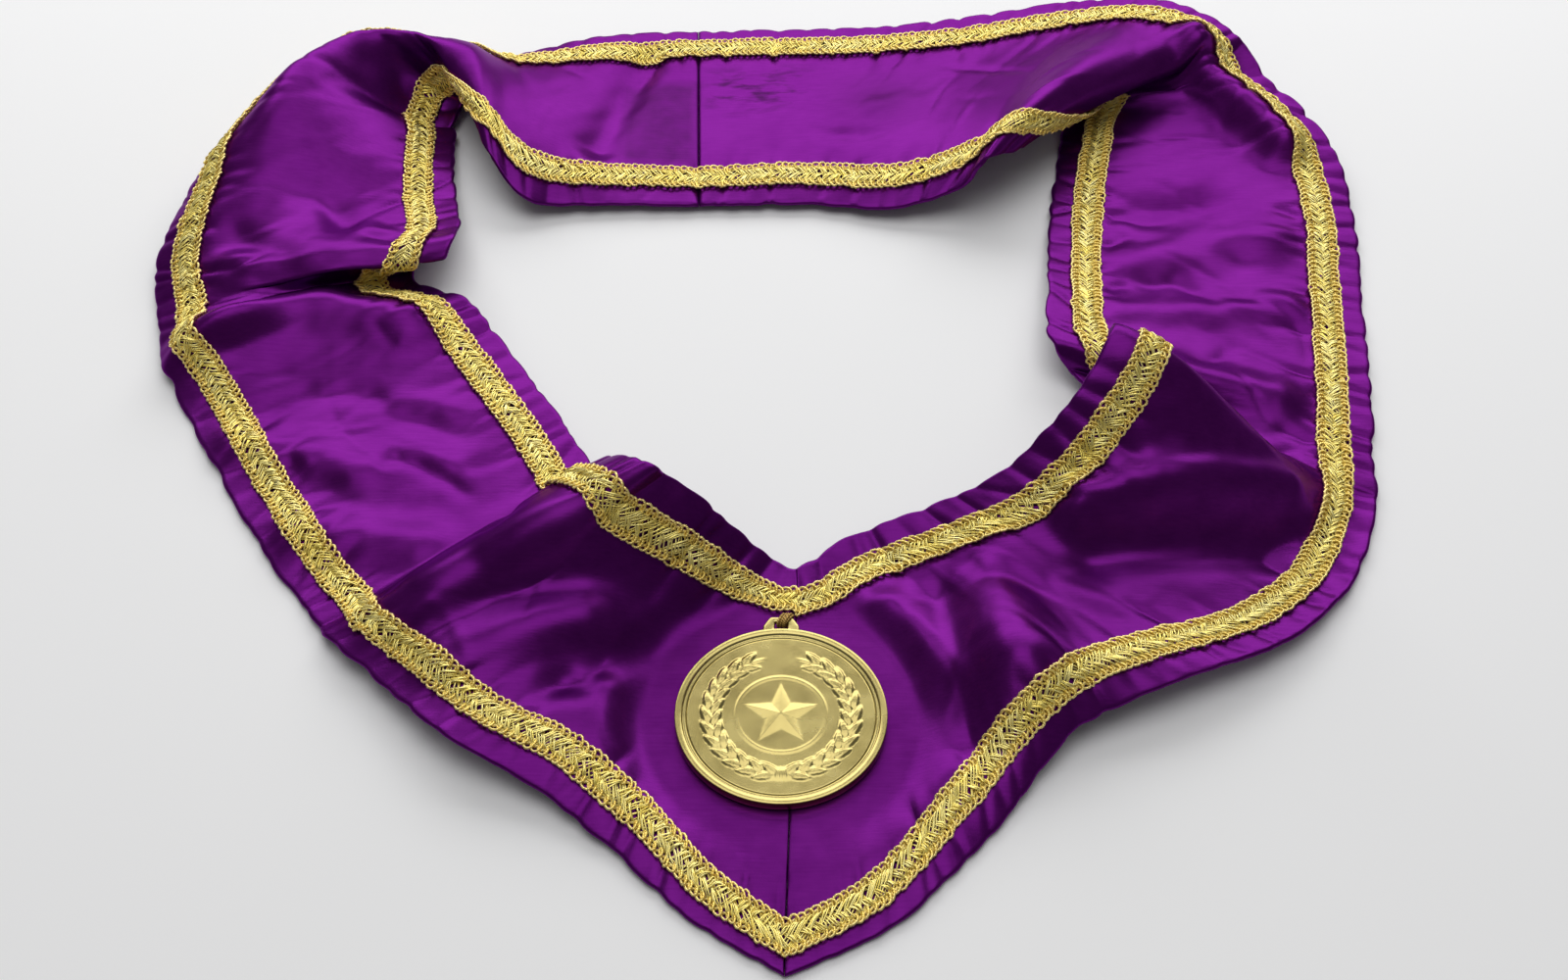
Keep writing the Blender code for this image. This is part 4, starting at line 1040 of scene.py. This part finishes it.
def thread_strands(tip, centre, material):
    """Strands of thread side by side, each a closed ring through the slot and round the lug's bar.

    Five lie against the bar, and four over them in the gaps between.
    """
    rng = np.random.default_rng(5)
    middle = MEDAL_SEAT + MEDAL_THICKNESS - LUG_THICKNESS / 2
    slot_top = centre[1] + MEDAL_DIAMETER / 2 + SLOT_HEIGHT
    turn = np.arange(THREAD_POINTS) * 2 * pi / THREAD_POINTS
    round_y, round_z = squarish(turn, THREAD_SQUARE)
    lower = [((k - 2) / 2, 1.0) for k in range(5)]
    upper = [((k - 1.5) / 2, 2.5) for k in range(4)]
    tubes, labels = [], []
    for number, (share, layer) in enumerate(lower + upper):
        grow = THREAD_RADIUS * layer
        near = slot_top - grow - THREAD_SLACK[0]
        far = slot_top + LUG_BAR + grow + THREAD_SLACK[1]
        half = LUG_THICKNESS / 2 + grow + THREAD_SLACK[2]
        y = (near + far) / 2 + (far - near) / 2 * round_y * (1 + rng.uniform(0, THREAD_UNEVEN))
        z = middle + half * round_z
        lean = np.clip((y - near) / (far - near), 0, 1)
        fan = share * THREAD_FAN + THREAD_LEAN * (tip[0] - centre[0])
        x = centre[0] + share * THREAD_SPREAD + lean * fan
        x = x + THREAD_SWAY * np.sin(turn + rng.uniform(0, 2 * pi))
        path = np.stack([x, y, np.maximum(z, THREAD_LOWEST)], axis=1)
        way = ring_way(path)
        lift = unit(np.cross(way, (1.0, 0.0, 0.0)))
        side = unit(np.cross(lift, way))
        tubes.append(tube(path, side, lift, THREAD_RADIUS, THREAD_RADIUS, THREAD_SIDES))
        labels.append(turn * 2 + number)
    return tubes_object("thread_strands", tubes, labels, material)


# Materials


def set_socket(tree, socket, value):
    """Links a shader value to a node's socket, or types a plain value into it."""
    if isinstance(value, Term):
        tree.links.new(value.socket, socket)
    else:
        socket.default_value = value


class Term:
    """A shader value. Arithmetic on it adds Math nodes to its tree."""

    def __init__(self, tree, socket):
        self.tree = tree
        self.socket = socket

    def math(self, operation, *values):
        """One Math node of that operation on the values."""
        node = self.tree.nodes.new("ShaderNodeMath")
        node.operation = operation
        for socket, value in zip(node.inputs, values):
            set_socket(self.tree, socket, value)
        return Term(self.tree, node.outputs[0])

    def __add__(self, other):
        return self.math("ADD", self, other)

    def __radd__(self, other):
        return self.math("ADD", other, self)

    def __sub__(self, other):
        return self.math("SUBTRACT", self, other)

    def __rsub__(self, other):
        return self.math("SUBTRACT", other, self)

    def __mul__(self, other):
        return self.math("MULTIPLY", self, other)

    def __rmul__(self, other):
        return self.math("MULTIPLY", other, self)

    def __truediv__(self, other):
        return self.math("DIVIDE", self, other)

    def clamp(self):
        """The value, held between 0 and 1."""
        return self.math("MINIMUM", self.math("MAXIMUM", self, 0.0), 1.0)

    def wave(self):
        """The value's sine."""
        return self.math("SINE", self)

    def step(self, low, high):
        """0 below low and 1 above high, a straight ramp between."""
        return ((self - low) / (high - low)).clamp()


class Finish:
    """One material: its node tree, its shader and the one method that adds a node."""

    def __init__(self, name, constants):
        self.material = bpy.data.materials.new(name)
        self.material.use_nodes = True
        self.tree = self.material.node_tree
        self.shader = self.tree.nodes["Principled BSDF"]
        for socket, value in constants.items():
            self.shader.inputs[socket].default_value = value

    def add(self, kind, settings=None, values=None, out=0):
        """One node of a kind with its settings and its sockets' values or links; gives one output."""
        node = self.tree.nodes.new(kind)
        for name, value in (settings or {}).items():
            setattr(node, name, value)
        for name, value in (values or {}).items():
            set_socket(self.tree, node.inputs[name], value)
        return Term(self.tree, node.outputs[out])

    def object_place(self):
        """Place in metres."""
        return self.add("ShaderNodeTexCoord", out="Object")

    def cloth_place(self):
        """Place along and across the cloth, cord, strand or thread."""
        return self.add("ShaderNodeUVMap", {"uv_map": "cloth"})

    def part(self, vector, axis):
        """One coordinate of a vector."""
        return self.add("ShaderNodeSeparateXYZ", values={0: vector}, out=axis)

    def stretched(self, vector, scale):
        """The vector times a scale on each axis."""
        return self.add("ShaderNodeVectorMath", {"operation": "MULTIPLY"}, {0: vector, 1: scale})

    def noise(self, vector, scale, detail=2.0):
        """Soft noise, between 0 and 1 about 0.5."""
        return self.add("ShaderNodeTexNoise", values={"Vector": vector, "Scale": scale, "Detail": detail})

    def mix(self, share, first, second):
        """The first colour at share 0, the second at share 1."""
        return self.add("ShaderNodeMix", {"data_type": "RGBA"}, {0: share, 6: first, 7: second}, out=2)

    def bump(self, height, strength, distance):
        """A normal tilted by the slopes of a height."""
        values = {"Height": height, "Strength": strength, "Distance": distance}
        return self.add("ShaderNodeBump", values=values)

    def feed(self, **links):
        """Links values to the shader's sockets, named with _ for a space."""
        for name, term in links.items():
            self.tree.links.new(term.socket, self.shader.inputs[name.replace("_", " ")])
        return self.material


def faded_box(x, y, low, high, soft):
    """1 inside the rectangle from low to high and 0 outside, with a soft edge."""
    inside_x = x.step(low[0] - soft, low[0] + soft) * (1 - x.step(high[0] - soft, high[0] + soft))
    return inside_x * y.step(low[1] - soft, low[1] + soft) * (1 - y.step(high[1] - soft, high[1] + soft))


def purple_satin():
    """Satin: a tinted gloss whose strength wanders, over fine yarns that all run one way.

    On the back strip it has marks of wear, the print of a square patch and dark scuffs beside the seam, and
    further to +X a soft dark patch of painted shade.
    """
    constants = {"Metallic": 0.86, "Roughness": 0.36, "Specular IOR Level": 0.12}
    constants["Specular Tint"] = SATIN_TINT
    cloth = Finish("purple_satin_cloth", constants)
    place = cloth.object_place()
    flat = cloth.cloth_place()
    broad = cloth.noise(place, 26.0, 3.0)
    blotch = cloth.noise(place, 140.0, 3.0)
    yarn = cloth.noise(cloth.stretched(place, (130.0, 1500.0, 900.0)), 1.0, 2.0)
    weave = cloth.noise(cloth.stretched(flat, (2600.0, 1700.0, 1.0)), 1.0, 1.0)
    tone = (0.45 * broad + 0.3 * blotch + 0.25 * yarn).step(0.35, 0.65)
    colour = cloth.mix(tone, *SATIN_COLOURS)
    x, y = cloth.part(place, 0), cloth.part(place, 1)
    wander = 0.003 * (broad - 0.5)
    print_edge = faded_box(x + wander, y, *PRINT_EDGE)
    print_inside = faded_box(x + wander, y, *PRINT_INSIDE)
    scuff_marks = cloth.noise(cloth.stretched(place, (90.0, 260.0, 90.0)), 1.0, 4.0).step(0.50, 0.66)
    scuffs = scuff_marks * faded_box(x, y, *SCUFFED)
    # painted shade: a soft dark patch on the back strip, beyond the scuffs towards +X
    painted_shade = faded_box(x + 4 * wander, y, *PAINTED_SHADE_BOX)
    # the wear marks plus the patch of painted shade, all darkened towards one colour
    wear_and_shade = (0.24 * print_edge + 0.7 * print_inside * (blotch - 0.15) + 0.8 * scuffs + 0.4 * painted_shade).clamp()
    colour = cloth.mix(wear_and_shade, colour, SATIN_WEAR_AND_SHADE)
    height = 0.6 * blotch + 0.35 * yarn + 0.15 * weave
    normal = cloth.bump(height, 0.35, 0.00025)
    return cloth.feed(Base_Color=colour, Roughness=0.30 + 0.12 * blotch, Normal=normal)


def wound_metal():
    """The wound cord of the ropes: fine metal threads twisted round, with painted highlights on each loop's
    outer tip and along each thread's ridge, duller between the turns.
    """
    metal = Finish("gold_braid_wound", {"Metallic": 0.68, "Roughness": 0.38, "Specular IOR Level": 0.5})
    flat = metal.cloth_place()
    along, round_it = metal.part(flat, 0), metal.part(flat, 1)
    each = metal.noise(metal.stretched(flat, (0.37, 0.0, 0.0)), 9.0, 2.0)
    threads = (along * 75.0 + round_it * 2 * pi * 2.0).wave() * 0.5 + 0.5
    colour = metal.mix(each.step(0.35, 0.65), *CORD_COLOURS)
    # painted highlight on the outer tip of each loop, where the turn's cosine is near 1
    tip = (along * 2 * pi + pi / 2).wave().step(0.3, 1.0)
    # painted highlight: the threads' stripes are paler on their ridges, where the bump is highest
    colour = metal.mix(0.35 * threads, colour, CORD_THREAD_HIGHLIGHT)
    colour = metal.mix(0.35 * tip, colour, CORD_TIP_HIGHLIGHT)
    normal = metal.bump(threads, 0.5, 0.00012)
    return metal.feed(Base_Color=colour, Roughness=0.30 + 0.18 * each, Normal=normal)


def flat_metal():
    """The bright flat strands of the plait."""
    metal = Finish("gold_braid_flat", {"Metallic": 0.70, "Roughness": 0.3, "Specular IOR Level": 0.5})
    flat = metal.cloth_place()
    each = metal.noise(flat, 2.2, 2.0)
    grain = metal.noise(metal.stretched(flat, (14.0, 3.0, 1.0)), 1.0, 2.0)
    colour = metal.mix(each.step(0.35, 0.65), *STRAND_COLOURS)
    return metal.feed(Base_Color=colour, Roughness=0.24 + 0.2 * grain, Normal=metal.bump(grain, 0.3, 0.0001))


def struck_gilt():
    """The medal's gilt: satin-polished, with faint scratches and a duller tone in patches."""
    metal = Finish("gilt_metal_struck", {"Metallic": 1.0, "Roughness": 0.22})
    place = metal.object_place()
    grain = metal.noise(place, 900.0, 3.0)
    patch = metal.noise(place, 110.0, 3.0)
    scratch = metal.noise(metal.stretched(place, (300.0, 2600.0, 300.0)), 1.0, 2.0).step(0.62, 0.72)
    colour = metal.mix(patch.step(0.3, 0.7), *GILT_COLOURS)
    normal = metal.bump(0.6 * grain + 0.08 * scratch, 0.2, 0.0001)
    return metal.feed(Base_Color=colour, Roughness=0.20 + 0.12 * patch, Normal=normal)


def brown_thread():
    """Dull gold-brown thread with a fine twist, coloured darker in its grooves as painted shade and paler on
    its ridges as a painted highlight.
    """
    thread = Finish("gold_thread_twist", {"Metallic": 0.35, "Roughness": 0.5})
    flat = thread.cloth_place()
    along, round_it = thread.part(flat, 0), thread.part(flat, 1)
    twist = (along * 9.0 + round_it * 2 * pi).wave() * 0.5 + 0.5
    # painted shade in the twist's grooves and painted highlight on its ridges
    colour = thread.mix(twist, *THREAD_SHADE_AND_HIGHLIGHT)
    return thread.feed(Base_Color=colour, Normal=thread.bump(twist, 0.6, 0.0002))


def pale_floor():
    """Plain pale surface, barely uneven in tone."""
    floor = Finish("pale_floor", {"Roughness": 0.7, "Specular IOR Level": 0.2})
    tone = floor.noise(floor.object_place(), 1.4, 1.0)
    return floor.feed(Base_Color=floor.mix(tone, *FLOOR_COLOURS))


# Camera, light and stage


def add_camera():
    """The camera at the photograph's place, tilted down."""
    data = bpy.data.cameras.new("camera")
    data.sensor_width = SENSOR_WIDTH
    data.lens = FOCAL_PIXELS / PICTURE_WIDTH * SENSOR_WIDTH
    data.clip_start, data.clip_end = 0.01, 20
    camera = bpy.data.objects.new("camera", data)
    camera.location = CAMERA_PLACE
    camera.rotation_euler = (pi / 2 - CAMERA_DOWN, 0, 0)
    bpy.context.scene.collection.objects.link(camera)
    bpy.context.scene.camera = camera


def add_light(name, place, size, power):
    """A rectangular soft light at a place, turned to the origin."""
    data = bpy.data.lights.new(name, "AREA")
    data.shape = "RECTANGLE"
    data.size, data.size_y = size
    data.energy = power
    light = bpy.data.objects.new(name, data)
    light.location = place
    way = Vector() - Vector(place)
    light.rotation_euler = way.to_track_quat("-Z", "Y").to_euler()
    bpy.context.scene.collection.objects.link(light)


def add_stage():
    """The pale floor just under the collar, an even room light, and two soft lights."""
    corners = FLOOR_HALF * np.array([(-1, -1, 0), (1, -1, 0), (1, 1, 0), (-1, 1, 0)])
    corners[:, 2] = FLOOR_LEVEL
    surface_object("floor", corners, np.array([[0, 1, 2, 3]]), pale_floor())
    world = bpy.data.worlds.new("room")
    world.use_nodes = True
    background = world.node_tree.nodes["Background"]
    background.inputs["Color"].default_value = (1, 1, 1, 1)
    background.inputs["Strength"].default_value = ROOM_LIGHT
    bpy.context.scene.world = world
    bpy.context.scene.view_settings.view_transform = "Standard"
    add_light("back_softbox", place=(0.0, 1.15, 0.75), size=(2.0, 0.9), power=17)
    add_light("top_softbox", place=(0.0, 0.05, 1.6), size=(1.4, 1.4), power=11)


def dress(piece, slot, *nodes):
    """Puts a piece on the part's one body, in place of its nodes. Its slot argument is not used."""
    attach(piece, "root")
    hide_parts(*nodes)
    return piece


add_camera()
add_stage()
braid_tip, medal_centre = medal_place()
surface = collar_surface(medal_centre)
count, back = len(surface[0]), surface[3]
satin = purple_satin()
right = satin_panel("satin_right", surface, np.arange(0, back + 1), medal_centre, satin)
left = satin_panel("satin_left", surface, np.arange(back, count + 1), medal_centre, satin)
wound, flat_strands = wound_metal(), flat_metal()
dress(right, "purple_satin", "satin_panel_right")
dress(left, "purple_satin", "satin_panel_left")
for band, node, seed in ((1, "outer_braid", 3), (3, "inner_braid", 7)):
    for k, side in enumerate(("outer", "inner")):
        cord = edge_cord(f"{node}_{side}_cord", surface, band, side == "outer", seed + k, wound)
        dress(cord, "gold_braid", node)
    plait = flat_plait(f"{node}_plait", surface, band, seed + 2, flat_strands)
    dress(plait, "gold_braid", node)
gilt = struck_gilt()
dress(medal_disc(medal_centre, gilt), "gilt_metal", "medal")
dress(medal_lug(medal_centre, gilt), "gilt_metal", "medal")
dress(thread_strands(braid_tip, medal_centre, brown_thread()), "gold_thread", "hanging_thread")
